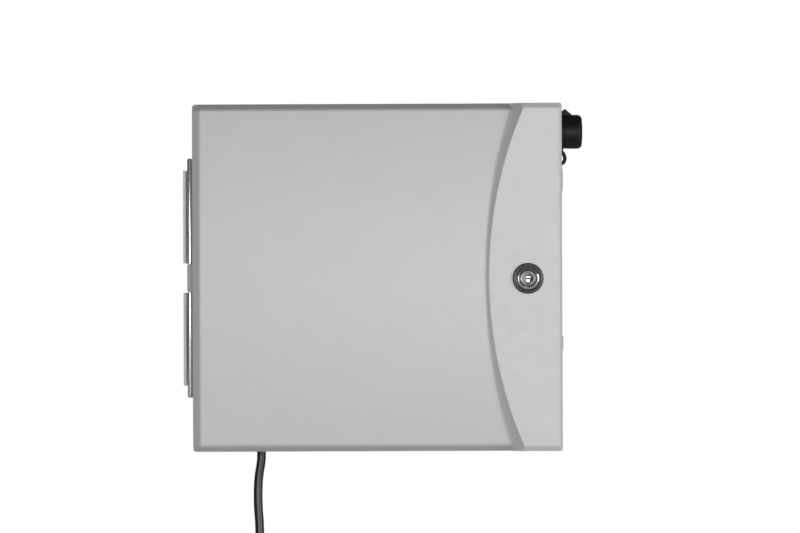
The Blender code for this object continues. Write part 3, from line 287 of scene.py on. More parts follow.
class Workpiece:
    """A part on the bench: shapes are added to it, and then it is fixed to what carries it."""

    def __init__(self, name, *finishes):
        self.name = name
        self.finishes = finishes
        self.shape = bmesh.new()

    def skin(self, rings, finish=0, ends=True, closed=False):
        """Rings of points joined in order, the two ends filled or the last joined to the first."""
        rows = [[self.shape.verts.new(point) for point in ring] for ring in rings]
        pairs = list(zip(rows, rows[1:]))
        if closed:
            pairs.append((rows[-1], rows[0]))
        faces = []
        for low, high in pairs:
            for i in range(len(low)):
                j = (i + 1) % len(low)
                faces.append(self.shape.faces.new((low[i], low[j], high[j], high[i])))
        if ends and not closed:
            faces.append(self.shape.faces.new(rows[0][::-1]))
            faces.append(self.shape.faces.new(rows[-1]))
        for face in faces:
            face.material_index = finish
            face.smooth = True
        return self

    def turn(self, profile, at, facing="front", finish=0, sides=48, closed=False):
        """A profile of (radius, height) points turned about the axis it faces along."""
        across, up = (Vector(v) for v in FACINGS[facing])
        axis = across.cross(up)
        rings = []
        for radius, height in profile:
            middle = Vector(at) + axis * height
            radius = max(radius, 0.000005)
            angles = [2 * math.pi * i / sides for i in range(sides)]
            rings.append([middle + (across * math.cos(a) + up * math.sin(a)) * radius for a in angles])
        return self.skin(rings, finish, closed=closed)

    def outline(self, points, stack, at, facing="front", finish=0):
        """A flat outline raised through (inset, height) steps. Insets pull it to its own middle."""
        across, up = (Vector(v) for v in FACINGS[facing])
        axis = across.cross(up)
        mid_x = sum(p[0] for p in points) / len(points)
        mid_y = sum(p[1] for p in points) / len(points)
        reach = max(math.hypot(x - mid_x, y - mid_y) for x, y in points)
        rings = []
        for inset, height in stack:
            share = 1 - inset / reach
            rings.append([
                Vector(at) + axis * height + across * (
                    mid_x + (x - mid_x) * share
                ) + up * (mid_y + (y - mid_y) * share)
                for x, y in points
            ])
        return self.skin(rings, finish)

    def plate(self, stack, at, size, corner, facing="front", finish=0, steps=5, closed=False):
        """A rectangle with rounded corners raised through (inset, height) steps."""
        across, up = (Vector(v) for v in FACINGS[facing])
        axis = across.cross(up)
        rings = []
        for inset, height in stack:
            half_x, half_y = size[0] / 2 - inset, size[1] / 2 - inset
            round_off = min(max(corner - inset, 0.00002), half_x, half_y)
            ring = []
            for quarter, (sx, sy) in enumerate(((1, 1), (-1, 1), (-1, -1), (1, -1))):
                for step in range(steps + 1):
                    angle = math.pi / 2 * (quarter + step / steps)
                    x = sx * (half_x - round_off) + round_off * math.cos(angle)
                    y = sy * (half_y - round_off) + round_off * math.sin(angle)
                    ring.append(Vector(at) + axis * height + across * x + up * y)
            rings.append(ring)
        return self.skin(rings, finish, closed=closed)

    def block(self, low, high, edge=0.0004, facing="front", finish=0):
        """A block between two corners with every edge eased."""
        low, high = Vector(low), Vector(high)
        across, up = (Vector(v) for v in FACINGS[facing])
        axis = across.cross(up)
        span = high - low
        size = (abs(span.dot(across)), abs(span.dot(up)))
        deep = abs(span.dot(axis))
        at = (low + high) / 2 - axis * deep / 2
        edge = min(edge, deep / 3, size[0] / 3, size[1] / 3)
        stack = [
            (edge, 0), (edge * 0.3, edge * 0.3), (0, edge), (0, deep - edge),
            (edge * 0.3, deep - edge * 0.3), (edge, deep)
        ]
        return self.plate(stack, at, size, edge, facing, finish, steps=2)

    def rod(self, line, radius, finish=0, sides=12, flat=1.0):
        """A round or flattened bar that follows a line of points. The radius may be a list."""
        line = [Vector(p) for p in line]
        radii = radius if isinstance(radius, (list, tuple)) else [radius] * len(line)
        rings = []
        side = None
        for i, point in enumerate(line):
            along = (line[min(i + 1, len(line) - 1)] - line[max(i - 1, 0)]).normalized()
            side = along.orthogonal() if side is None else side - along * side.dot(along)
            side.normalize()
            over = along.cross(side)
            ring = []
            for k in range(sides):
                angle = 2 * math.pi * k / sides
                ring.append(point + (side * math.cos(angle) + over * math.sin(angle) * flat) * radii[i])
            rings.append(ring)
        return self.skin(rings, finish)

    def screw_head(self, at, facing, radius, height, ways=2, finish=0):
        """A screw head with a straight slot, or with a cross when it has four ways."""
        slot = radius * 0.24
        lip = radius * 0.12
        self.turn(
            [(0, 0), (radius, 0), (radius, height * 0.35), (0, height * 0.35)], at, facing, finish, 20
        )
        inner = radius * (0.66 if ways == 4 else 0.98)
        for quarter in range(ways):
            turn_by = 2 * math.pi * quarter / ways
            points = []
            if ways == 4:
                start = math.asin(slot / 2 / inner)
                points.append((slot / 2, slot / 2))
                for step in range(6):
                    angle = start + (math.pi / 2 - 2 * start) * step / 5
                    points.append((inner * math.cos(angle), inner * math.sin(angle)))
            else:
                start = math.asin(slot / inner)
                for step in range(11):
                    angle = start + (math.pi - 2 * start) * step / 10
                    points.append((inner * math.cos(angle), inner * math.sin(angle)))
            points = [
                (
                    x * math.cos(turn_by) - y * math.sin(turn_by),
                    x * math.sin(turn_by) + y * math.cos(turn_by)
                )
                for x, y in points
            ]
            self.outline(points, [(0, height * 0.3), (0, height * 0.8), (lip, height)], at, facing, finish)
        if ways == 4:
            rim = [
                (inner, height * 0.3), (radius, height * 0.3), (radius * 0.96, height * 0.75),
                (inner + lip, height), (inner, height * 0.95)
            ]
            self.turn(rim, at, facing, finish, 24, closed=True)
        return self

    def make(self, sharp=38):
        """The finished mesh as an object, its creases kept sharp."""
        bmesh.ops.remove_doubles(self.shape, verts=self.shape.verts, dist=0.00001)
        bmesh.ops.dissolve_degenerate(self.shape, dist=0.000001, edges=self.shape.edges)
        bmesh.ops.recalc_face_normals(self.shape, faces=self.shape.faces)
        mesh = bpy.data.meshes.new(self.name)
        self.shape.to_mesh(mesh)
        self.shape.free()
        for finish in self.finishes:
            mesh.materials.append(finish)
        mesh.set_sharp_from_angle(angle=math.radians(sharp))
        made = bpy.data.objects.new(self.name, mesh)
        bpy.context.scene.collection.objects.link(made)
        return made

    def fix(self, body, slot, *nodes, sharp=38):
        """Makes the part, fixes it to a body and hides the nodes of the frame it stands for."""
        made = self.make(sharp)
        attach(made, body)
        if nodes:
            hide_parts(*nodes)
        return made


strap_cloth = surface(
    "strap_cloth", (0.03, 0.03, 0.034), 0.92, 2600, 0.00016, 0.45, scuff=0.25,
    scuff_colour=(0.12, 0.12, 0.13)
)


def strap_line(low_y, high_y, low_z, high_z, corner, steps=6):
    """A rounded rectangle in y and z, open where the tail starts."""
    line = []
    for quarter, (y, z) in enumerate(((high_y, high_z), (low_y, high_z), (low_y, low_z), (high_y, low_z))):
        sy, sz = (-1 if y == high_y else 1), (-1 if z == high_z else 1)
        for step in range(steps + 1):
            angle = math.pi / 2 * (quarter + step / steps)
            line.append(
                (y + sy * corner + corner * math.cos(angle), z + sz * corner + corner * math.sin(angle))
            )
    return line


strap = Workpiece("lead_strap", strap_cloth)
loop = strap_line(-0.0556, -0.0364, -0.2896, -0.2584, 0.0034)
loop.append(loop[0])
thick = 0.0011
rings = []
for number, (y, z) in enumerate(loop):
    before = loop[number - 1] if number else loop[-2]
    after = loop[number + 1] if number + 1 < len(loop) else loop[1]
    along = Vector((0, after[0] - before[0], after[1] - before[1])).normalized()
    out = Vector((0, along.z, -along.y))
    base = Vector((0, y, z))
    edge = 0.00035
    section = (
        (-0.0048, 0), (-0.0044, edge), (0.0044, edge), (0.0048, 0), (0.0044, -thick), (-0.0044, -thick)
    )
    rings.append([base + Vector((COIL_MIDDLE.x + x, 0, 0)) + out * h for x, h in section])
strap.skin(rings[:-1], closed=True)
strap.block((COIL_MIDDLE.x - 0.0046, -0.0564, -0.286), (COIL_MIDDLE.x + 0.0046, -0.0553, -0.264), 0.0004)
strap.fix("cabinet", "dark", "cord_tie")

# Mains plug ----------------------------------------------------------------------------
# A moulded PVC plug with two flat blades and a round earth pin in plated brass. Its neck
# is ribbed so that the lead bends evenly where it goes in.

plated_brass = surface(
    "plated_brass", (0.62, 0.6, 0.55), 0.24, 700, 0.00001, 0.08, metal=1.0, stretch=(1, 1, 0.15)
)
plug_pvc = surface("plug_pvc", (0.016, 0.016, 0.017), 0.42, 1400, 0.00004, 0.2)
PLUG = Vector((COIL_MIDDLE.x - 0.058, -0.042, COIL_MIDDLE.z - 0.033))

plug = Workpiece("mains_plug", plug_pvc, plated_brass)
neck = [(0, 0.0), (CORD_RADIUS + 0.0006, 0.0)]
for rib in range(4):
    down = -0.0015 - rib * 0.003
    wide = CORD_RADIUS + 0.0012 + rib * 0.0005
    neck += [
        (wide, down), (wide, down - 0.0016), (wide - 0.0008, down - 0.0019),
        (wide - 0.0008, down - 0.0027)
    ]
neck += [(0.0072, -0.015), (0.0098, -0.0175), (0.0114, -0.02), (0.0123, -0.0235), (0.0125, -0.027)]
neck += [(0.0125, -0.0355), (0.0122, -0.0372), (0.0112, -0.038), (0, -0.038)]
plug.turn(neck, PLUG, "up", 0, 56)
for side in (-1, 1):
    for row in range(4):
        height = PLUG.z - 0.0235 - row * 0.003
        plug.block(
            (PLUG.x + side * 0.0118 - 0.0009, PLUG.y - 0.006, height - 0.0008),
            (PLUG.x + side * 0.0118 + 0.0009, PLUG.y + 0.006, height + 0.0008), 0.0004, "up"
        )
face = PLUG.z - 0.038
for side in (-1, 1):
    at = Vector((PLUG.x + side * 0.00635, PLUG.y - 0.00135, face + 0.001))
    plug.plate([(0, 0), (0, 0.0155), (0.0006, 0.017)], at, (0.0015, 0.0062), 0.0002, "down", 1, steps=2)
plug.turn(
    [(0.0024, -0.001), (0.0024, 0.016), (0.002, 0.0175), (0.001, 0.018), (0, 0.018)],
    (PLUG.x, PLUG.y + 0.0075, face), "down", 1, 28
)
plug_piece = plug.fix("cabinet", "rubber", "cord_plug")

# Strain relief -------------------------------------------------------------------------
# A black nylon bushing pushed up through the cabinet's floor. Its tapered sleeve grips
# the lead, with slots cut across it so that it flexes.

black_nylon = surface("black_nylon", (0.022, 0.022, 0.024), 0.45, 1500, 0.00003, 0.2)
relief_low, relief_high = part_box("strain_relief")
relief_at = Vector((CORD_POINTS[0][0], CORD_POINTS[0][1], relief_low.z))
relief = Workpiece("lead_bushing", black_nylon)
floor_under = -0.1488 - relief_low.z
floor_top = -0.1452 - relief_low.z
sleeve = [
    (0, 0), (0.0047, 0), (0.0058, 0.0008), (0.0074, floor_under - 0.0012),
    (0.0076, floor_under - 0.0004), (0.0074, floor_under), (0.0064, floor_under)
]
sleeve += [
    (0.0064, floor_top), (0.0089, floor_top), (0.0089, floor_top + 0.0036), (0.0084, floor_top + 0.0041)
]
top = relief_high.z - relief_low.z
rise = floor_top + 0.005
while rise + 0.0026 < top:
    share = (rise - floor_top) / (top - floor_top)
    wide = 0.0072 - 0.002 * share
    sleeve += [
        (wide, rise), (wide, rise + 0.0014), (wide - 0.0011, rise + 0.0016),
        (wide - 0.0011, rise + 0.0024)
    ]
    rise += 0.0026
sleeve += [(0.0048, top - 0.0003), (0.0044, top), (0, top)]
relief.turn(sleeve, relief_at, "up", 0, 48)
relief.fix("cabinet", "rubber", "strain_relief")

# Cabinet -------------------------------------------------------------------------------
# The back box is one moulding in light grey ABS with an open front, screwed to the wall
# through its back. It carries the block that holds the door's hinge pin.

case_plastic = surface(
    "case_plastic", (0.54, 0.545, 0.547), 0.36, 1500, 0.000035, 0.025, scuff=0.05,
    scuff_colour=(0.66, 0.66, 0.66)
)


def dress(node, finish, edge=0.0):
    """Gives a part of the frame its finish, and eases its edges."""
    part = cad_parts[node]
    if not part.material_slots:
        part.data.materials.append(finish)
    for place in part.material_slots:
        place.material = finish
    part.data.shade_smooth()
    part.data.set_sharp_from_angle(angle=math.radians(35))
    if edge:
        weld = part.modifiers.new("weld", "WELD")
        weld.merge_threshold = 0.00001
        ease = part.modifiers.new("eased_edges", "BEVEL")
        ease.width = edge
        ease.segments = 2
        ease.limit_method = "ANGLE"
        ease.angle_limit = math.radians(35)
        level = part.modifiers.new("level_faces", "WEIGHTED_NORMAL")
        level.keep_sharp = True
    return part


dress("cabinet_shell", case_plastic, 0.0006)

# Rim gasket ----------------------------------------------------------------------------
# A black EPDM rubber strip, cut to length and pressed on the cabinet's rim. The lip
# inside the door seals against it when the door is shut.

black_rubber = surface(
    "black_rubber", (0.006, 0.006, 0.0066), 0.5, 1100, 0.00004, 0.3, scuff=0.08,
    scuff_colour=(0.02, 0.02, 0.02), shine=0.28
)
dress("rim_gasket", black_rubber, 0.0007)

# Door ----------------------------------------------------------------------------------
# One ABS moulding, 3 mm thick, with a skirt that closes over the cabinet. Its main panel
# bulges, and a curved 45 degree step rises from it to the flat panel with the lock.

HALF_WIDTH = 0.162
HALF_HEIGHT = 0.1525
SKIRT_BACK = -0.086
DOOR_WALL = 0.003
STEP_CIRCLE = 0.375
STEP_LEFT = 0.098
BULGE_CIRCLE = 1.613
SHALLOW = 0.0026
MAIN_EDGE, END_EDGE, LOCK_EDGE, SIDE_EDGE = 0.0065, 0.0051, 0.0043, 0.0026
EDGE_DROP, END_DROP, END_ROUND, LOCK_DROP = 0.006, 0.011, 0.0036, 0.0034
HINGE = Vector((-0.165, -0.08, 0))
LOCK = Vector((0.132, DOOR_FRONT, -0.0012))
LOCK_HOLE = 0.0094


def step_edge(up):
    """Where the top of the curved step lies at a height."""
    return STEP_LEFT + STEP_CIRCLE - math.sqrt(STEP_CIRCLE**2 - up**2)


def panel_drop(up):
    """How far the main panel lies behind the lock panel at a height."""
    return SHALLOW + BULGE_CIRCLE - math.sqrt(BULGE_CIRCLE**2 - up**2)


def larger(a, b, blend):
    """The larger of two depths, with the crease between them rounded."""
    near = max(blend - abs(a - b), 0) / blend
    return max(a, b) + near * near * blend / 4


def smaller(a, b, blend):
    return -larger(-a, -b, blend)


def border_drop(distance, width, drop, blend):
    """The chamfer along a border: its full drop at the rim and none past its width."""
    return larger(drop * (1 - distance / width), 0, blend)


def face_depth(x, z):
    """How far the door's face lies behind the front of its lock panel."""
    drop = panel_drop(z)
    end = HALF_HEIGHT - abs(z)
    rise = larger(step_edge(z) - x, 0, 0.0005)
    flank = rise + 1.2 * max(0, rise - drop)
    raised = larger(flank, border_drop(end, LOCK_EDGE, LOCK_DROP, 0.0004), 0.0004)
    sunk = drop + border_drop(end, END_EDGE, END_DROP, END_ROUND)
    face = smaller(raised, sunk, 0.0008 + 0.32 * drop)
    left = border_drop(x + HALF_WIDTH, MAIN_EDGE, EDGE_DROP, 0.0014)
    right = border_drop(HALF_WIDTH - x, SIDE_EDGE, SIDE_EDGE, 0.0008)
    return face + left + right


def spaced(start, end, count):
    return [start + (end - start) * i / count for i in range(count)]


door_rows = spaced(0, 0.0012, 3) + spaced(0.0012, 0.01, 16) + spaced(0.01, 0.02, 5)
door_rows = [-HALF_HEIGHT + d for d in door_rows]
door_rows += spaced(-HALF_HEIGHT + 0.02, HALF_HEIGHT - 0.02, 56)
door_rows += [
    HALF_HEIGHT - d for d in spaced(0.02, 0.01, 5) + spaced(0.01, 0.0012, 16) + spaced(0.0012, 0, 3)
] + [HALF_HEIGHT]
FOOT_REACH = 0.026
foot_steps = spaced(FOOT_REACH, 0.0015, 34) + spaced(0.0015, -0.0015, 12) + spaced(-0.0015, -0.006, 3)
left_steps = spaced(0, 0.0012, 3) + spaced(0.0012, 0.0105, 14)
right_steps = spaced(0.01, 0.0042, 3) + spaced(0.0042, 0.0012, 8) + spaced(0.0012, 0, 4) + [0]


def door_columns(up):
    """The columns of one row: close together at the borders, and along the step."""
    edge = step_edge(up)
    columns = [-HALF_WIDTH + d for d in left_steps]
    columns += spaced(-HALF_WIDTH + 0.0105, edge - FOOT_REACH, 34)
    columns += [edge - d for d in foot_steps]
    columns += spaced(edge + 0.006, HALF_WIDTH - 0.01, 10)
    columns += [HALF_WIDTH - d for d in right_steps]
    return columns


def round_corner(x, z):
    """Pulls the outline's four corners in to a small radius."""
    corner = 0.0022
    dx, dz = abs(x) - (HALF_WIDTH - corner), abs(z) - (HALF_HEIGHT - corner)
    reach = math.hypot(dx, dz)
    if dx <= 0 or dz <= 0 or reach <= corner:
        return x, z
    share = corner / reach
    return math.copysign(HALF_WIDTH - corner + dx * share, x), math.copysign(
        HALF_HEIGHT - corner + dz * share, z
    )


inner_x = (HALF_WIDTH - DOOR_WALL) / HALF_WIDTH
inner_z = (HALF_HEIGHT - DOOR_WALL) / HALF_HEIGHT
door = Workpiece("door", case_plastic)
face_grid, inner_grid = [], []
for z in door_rows:
    outer_row, inner_row = [], []
    for x in door_columns(z):
        depth = face_depth(x, z)
        px, pz = round_corner(x, z)
        outer_row.append(door.shape.verts.new((px, DOOR_FRONT + depth, pz)))
        inner_row.append(door.shape.verts.new((px * inner_x, DOOR_FRONT + depth + DOOR_WALL, pz * inner_z)))
    face_grid.append(outer_row)
    inner_grid.append(inner_row)
for grid in (face_grid, inner_grid):
    for low, high in zip(grid, grid[1:]):
        for i in range(len(low) - 1):
            door.shape.faces.new((low[i], low[i + 1], high[i + 1], high[i]))


def rim_of(grid):
    """The border of a grid of points, in order."""
    return grid[0][:-1] + [row[-1] for row in grid[:-1]] + grid[-1][:0:-1] + [row[0] for row in grid[:0:-1]]


outer_rim, inner_rim = rim_of(face_grid), rim_of(inner_grid)
skirt = []
for depth, inset in ((SKIRT_BACK - 0.0008, 0.0), (SKIRT_BACK, 0.0008)):
    ring = []
    for point in outer_rim:
        pull = Vector((1 - inset / HALF_WIDTH, 1, 1 - inset / HALF_HEIGHT))
        ring.append(door.shape.verts.new((point.co.x * pull.x, depth, point.co.z * pull.z)))
    skirt.append(ring)
for depth, inset in ((SKIRT_BACK, 0.0022), (SKIRT_BACK - 0.0008, 0.003)):
    ring = []
    for point in outer_rim:
        pull = Vector((1 - inset / HALF_WIDTH, 1, 1 - inset / HALF_HEIGHT))
        ring.append(door.shape.verts.new((point.co.x * pull.x, depth, point.co.z * pull.z)))
    skirt.append(ring)
loops = [outer_rim] + skirt + [inner_rim]
for low, high in zip(loops, loops[1:]):
    for i in range(len(low)):
        j = (i + 1) % len(low)
        door.shape.faces.new((low[i], low[j], high[j], high[i]))
for panel_face in door.shape.faces:
    panel_face.smooth = True
door_piece = door.make(50)
cutter = Workpiece("lock_hole_cutter")
cutter.turn(
    [(0, -0.002), (LOCK_HOLE, -0.002), (LOCK_HOLE, 0.012), (0, 0.012)], LOCK + Vector((0, 0.009, 0)),
    "front", 0, 48
)


def carve(part, tool, operation="DIFFERENCE"):
    """Cuts a tool's shape out of a part, or joins it on, and keeps the result."""
    change = part.modifiers.new("carve", "BOOLEAN")
    change.object = tool
    change.operation = operation
    change.solver = "EXACT"
    bpy.context.view_layer.update()
    graph = bpy.context.evaluated_depsgraph_get()
    part.data = bpy.data.meshes.new_from_object(part.evaluated_get(graph))
    part.modifiers.clear()
    bpy.data.objects.remove(tool, do_unlink=True)
    return part


carve(door_piece, cutter.make())
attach(door_piece, "door")
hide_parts("door_shell")

# Door knuckles and lip -----------------------------------------------------------------
# Two long hinge barrels run up the door's left edge on webs, and a thin lip inside the
# door presses on the gasket. Ribs stiffen the panel from behind.

bright_steel = surface(
    "bright_steel", (0.8, 0.79, 0.77), 0.2, 700, 0.00001, 0.05, metal=1.0, stretch=(1, 1, 0.1)
)
knuckles = Workpiece("door_knuckles", bright_steel, case_plastic)
for side in (1, -1):
    near, far = 0.01235, 0.10535
    facing = "up" if side > 0 else "down"
    barrel = [
        (0.0019, near), (0.0023, near), (0.0026, near + 0.0003), (0.0026, far - 0.0016),
        (0.0024, far - 0.0008), (0.002, far - 0.0002), (0.0018, far), (0.0017, far),
        (0.0017, far - 0.001), (0.0019, far - 0.002)
    ]
    knuckles.turn(barrel, HINGE, facing, 0, 32, closed=True)
    low, high = sorted((side * (near + 0.0005), side * (far - 0.0005)))
    knuckles.block(
        (HINGE.x + 0.002, SKIRT_BACK - 0.002, low), (-HALF_WIDTH + 0.002, HINGE.y - 0.0004, high),
        0.0003, "up", 1
    )
    knuckles.block(
        (-HALF_WIDTH + 0.0002, SKIRT_BACK - 0.012, low), (-HALF_WIDTH + 0.0022, HINGE.y - 0.0045, high),
        0.0003, "up", 1
    )
knuckles.fix("door", "steel")

lip = Workpiece("door_lip", case_plastic)
LIP_BACK = -0.0961
LIP_THICK = 0.0018
lip_line = []
for sx, sz in ((1, 1), (-1, 1), (-1, -1), (1, -1)):
    corner = Vector((sx * (0.1572 - 0.003), 0, sz * (0.1477 - 0.003)))
    start = math.radians({(1, 1): 0, (-1, 1): 90, (-1, -1): 180, (1, -1): 270}[sx, sz])
    for step in range(6):
        angle = start + math.pi / 2 * step / 5
        out = Vector((math.cos(angle), 0, math.sin(angle)))
        lip_line.append((corner + out * 0.003, out))
long_line = []
lip_points = [point for point, out in lip_line]
for (point, out), after in zip(lip_line, lip_points[1:] + lip_points[:1]):
    steps = max(1, round((after - point).length / 0.004))
    long_line += [(point.lerp(after, step / steps), out) for step in range(steps)]
rings = []
for point, out in long_line:
    inside = point - out * LIP_THICK
    root_out = DOOR_FRONT + face_depth(point.x, point.z) + 0.0018
    root_in = DOOR_FRONT + face_depth(inside.x, inside.z) + 0.0018
    edge = 0.0004
    ring = []
    for along, depth in (
        (0, root_out), (0, LIP_BACK - edge), (edge, LIP_BACK), (LIP_THICK - edge, LIP_BACK),
        (LIP_THICK, LIP_BACK - edge), (LIP_THICK, root_in)
    ):
        place = point - out * along
        ring.append(Vector((place.x, depth, place.z)))
    rings.append(ring)
lip.skin(rings, closed=True)


def rib(start, end, height=0.0045):
    """A stiffening rib on the door's inner face between two (x, z) points, following the face."""
    steps = 30
    along = Vector((end[0] - start[0], 0, end[1] - start[1])).normalized()
    over = Vector((along.z, 0, -along.x)) * 0.0008
    rings = []
    for step in range(steps + 1):
        x = start[0] + (end[0] - start[0]) * step / steps
        z = start[1] + (end[1] - start[1]) * step / steps
        base = Vector((x, DOOR_FRONT + face_depth(x, z) + DOOR_WALL, z))
        low, high = Vector((0, -0.0008, 0)), Vector((0, height, 0))
        rings.append(
            [
                base + low - over, base + low + over, base + high * 0.93 + over,
                base + high + over * 0.6, base + high - over * 0.6, base + high * 0.93 - over
            ]
        )
    lip.skin(rings)


for across in (-0.112, -0.064, -0.016, 0.032):
    rib((across, -0.14), (across, 0.14))
for up in (-0.094, -0.047, 0.047, 0.094):
    rib((-0.152, up), (0.086, up))
lip.fix("door", "case")

# Hinge pin and guards ------------------------------------------------------------------
# A zinc-plated steel pin runs through both barrels and the cabinet's block, and two guard
# plates stand outside the barrels on feet.

zinc_steel = surface(
    "zinc_steel", (0.6, 0.6, 0.58), 0.34, 600, 0.00002, 0.1, metal=1.0, stretch=(1, 1, 0.2), scuff=0.3,
    scuff_colour=(0.42, 0.41, 0.38)
)
dress("hinge_rod", zinc_steel)
# The guard colour is painted paler than the case so that the guards look lit where the door's shadow falls
# on them: painted light over a nylon finish.
guard_nylon_painted_light = surface(
    "guard_nylon_painted_light", (0.74, 0.74, 0.735), 0.4, 1500, 0.00003, 0.03, scuff=0.05,
    scuff_colour=(0.8, 0.8, 0.8)
)
for node in ("hinge_guard_upper", "hinge_guard_lower"):
    dress(node, guard_nylon_painted_light, 0.0005)

# Lock ----------------------------------------------------------------------------------
# A cam lock: a dark moulded bezel, a chromed brass housing held by a hex nut, and a
# turning plug with a waved keyway. The steel cam swings behind the catch.

bezel_plastic = surface("bezel_plastic", (0.045, 0.046, 0.048), 0.3, 900, 0.00002, 0.2, metal=0.5)
chrome = surface("chrome", (0.62, 0.63, 0.64), 0.15, 500, 0.00001, 0.04, metal=1.0)
plug_metal = surface(
    "plug_metal", (0.2, 0.2, 0.21), 0.34, 700, 0.00006, 0.2, metal=0.8, scuff=0.5,
    scuff_colour=(0.5, 0.5, 0.5)
)
brass = surface("brass", (0.62, 0.5, 0.28), 0.28, 800, 0.00002, 0.12, metal=1.0)

bezel = Workpiece("lock_bezel_ring", bezel_plastic)
bezel_profile = [
    (0.01005, 0.0003), (0.0133, 0.0003), (0.0135, 0.0006), (0.0135, 0.0011), (0.0133, 0.0016),
    (0.0128, 0.002), (0.012, 0.0023), (0.0112, 0.0022), (0.0105, 0.0017), (0.01005, 0.0016)
]
bezel.turn(bezel_profile, LOCK, "front", 0, 72, closed=True)
bezel.fix("door", "dark", "lock_bezel")

housing = Workpiece("lock_barrel", chrome)
barrel = [(0.0089, -0.037), (0.0089, -0.0366)]
thread = -0.036
while thread < -0.008:
    barrel += [(0.0089, thread), (0.0085, thread + 0.0005), (0.0089, thread + 0.001)]
    thread += 0.001
barrel += [
    (0.009, -0.004), (0.009, 0.0002), (0.00975, 0.0002), (0.00975, 0.0014), (0.00965, 0.0017),
    (0.0094, 0.0019), (0.0084, 0.00235), (0.0081, 0.00238), (0.0079, 0.0022), (0.0078, -0.037)
]
housing.turn(barrel, LOCK, "front", 0, 72, closed=True)
housing.fix("door", "chrome", "lock_housing")

keyway = Workpiece("keyway_cutter")
wave = [
    (0.0002, 0.0046), (-0.0016, 0.0042), (-0.0024, 0.0028), (-0.001, 0.0018), (-0.0014, 0.0006),
    (-0.001, -0.0006), (-0.0016, -0.0018), (-0.0022, -0.0032), (-0.0012, -0.0045)
]
wave_right = [
    (0.0014, -0.0045), (0.0018, -0.0034), (0.001, -0.002), (0.002, -0.0008), (0.0029, 0.0004),
    (0.0018, 0.0014), (0.0008, 0.0022), (0.0016, 0.0034), (0.0012, 0.0044)
]
keyway.outline(wave + wave_right, [(0, 0), (0, 0.01)], LOCK + Vector((0, 0.0045, 0)), "front")
cylinder = Workpiece("lock_plug_face", plug_metal)
cylinder.turn(
    [
        (0, -0.0365), (0.0074, -0.0365), (0.0074, 0.0008), (0.0072, 0.0014), (0.0067, 0.0017),
        (0.0062, 0.0016), (0.0059, 0.0013), (0, 0.0013)
    ],
    LOCK, "front", 0, 64
)
cylinder_piece = carve(cylinder.make(), keyway.make())
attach(cylinder_piece, "lock_plug")
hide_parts("lock_cylinder")
wafers = Workpiece("lock_wafers", chrome)
for height, shift, tilt in (
    (0.0031, -0.0004, 0.16), (0.0013, 0.0002, 0.1), (-0.0003, 0.0006, 0.2), (-0.0019, 0.0001, 0.05),
    (-0.0035, -0.0002, 0.15)
):
    front = DOOR_FRONT - 0.0009
    rings = []
    for deep, ease in ((0.0024, 0), (0.0003, 0), (0.0, 0.00025)):
        ring = []
        for x, z in ((-0.0022, -0.0007), (0.0022, -0.0007), (0.0022, 0.0007), (-0.0022, 0.0007)):
            ring.append(
                Vector(
                    (
                        LOCK.x + shift + x * (1 - ease * 400), front + deep + x * tilt,
                        LOCK.z + height + z * (1 - ease * 900)
                    )
                )
            )
        rings.append(ring)
    wafers.skin(rings)
wafers.fix("lock_plug", "chrome")
dress("lock_cam", zinc_steel, 0.0006)
dress("lock_nut", zinc_steel, 0.0004)
dress("lock_catch", zinc_steel, 0.0004)

cam_screw = Workpiece("cam_fixing_screw", zinc_steel)
low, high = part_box("cam_screw")
cam_back = Vector((LOCK.x, high.y - 0.0018, LOCK.z))
cam_screw.screw_head(cam_back, "back", 0.0044, 0.0018, 4)
cam_screw.turn([(0.0021, 0), (0.0021, 0.01), (0, 0.01)], cam_back + Vector((0, 0.0001, 0)), "front", 0, 24)
cam_screw.fix("lock_plug", "steel", "cam_screw")

# Side port -----------------------------------------------------------------------------
# A round panel socket for a sensor plug stands in the right wall. A moulded rubber cap
# with a pull tab covers it, tied to the wall by a strap of the same rubber.

PORT = Vector((0.158, -0.05, 0.1284))
CAP = PORT + Vector((0.003, 0, 0))
SOCKET_RADIUS = 0.0095
CONTACT_CIRCLE = 0.0038
THREAD_PITCH = 0.0014
STRAP_HALF_WIDTH = 0.0029
socket_plastic = surface("socket_plastic", (0.035, 0.035, 0.038), 0.4, 1200, 0.00003, 0.2)
socket = Workpiece("panel_socket", socket_plastic, brass)
shell = [(0.0065, 0.004), (0.0065, 0.0148), (0.0068, 0.015), (0.0092, 0.015), (SOCKET_RADIUS, 0.0146)]
thread = 0.0138
while thread > 0.004:
    shell += [(SOCKET_RADIUS, thread), (0.0091, thread - 0.0006), (SOCKET_RADIUS, thread - 0.0012)]
    thread -= THREAD_PITCH
shell += [
    (SOCKET_RADIUS, 0.0023), (0.0116, 0.0023), (0.012, 0.0019), (0.012, 0.0005), (0.0118, 0.0003),
    (SOCKET_RADIUS, 0.0003), (SOCKET_RADIUS, -0.015), (0, -0.015), (0, 0.004)
]
socket.turn(shell, PORT, "right", 0, 56)
for contact in range(5):
    angle = math.radians(90 + 72 * contact)
    pin_at = PORT + Vector((0, CONTACT_CIRCLE * math.cos(angle), CONTACT_CIRCLE * math.sin(angle)))
    socket.turn(
        [(0, 0.0035), (0.0008, 0.0035), (0.0008, 0.0095), (0.0005, 0.0103), (0, 0.0105)], pin_at,
        "right", 1, 16
    )
socket.block(
    PORT + Vector((0.0038, -0.001, -0.0066)), PORT + Vector((0.0125, 0.001, -0.0054)), 0.0002, "right"
)
socket.fix("cabinet", "dark", "port_socket")

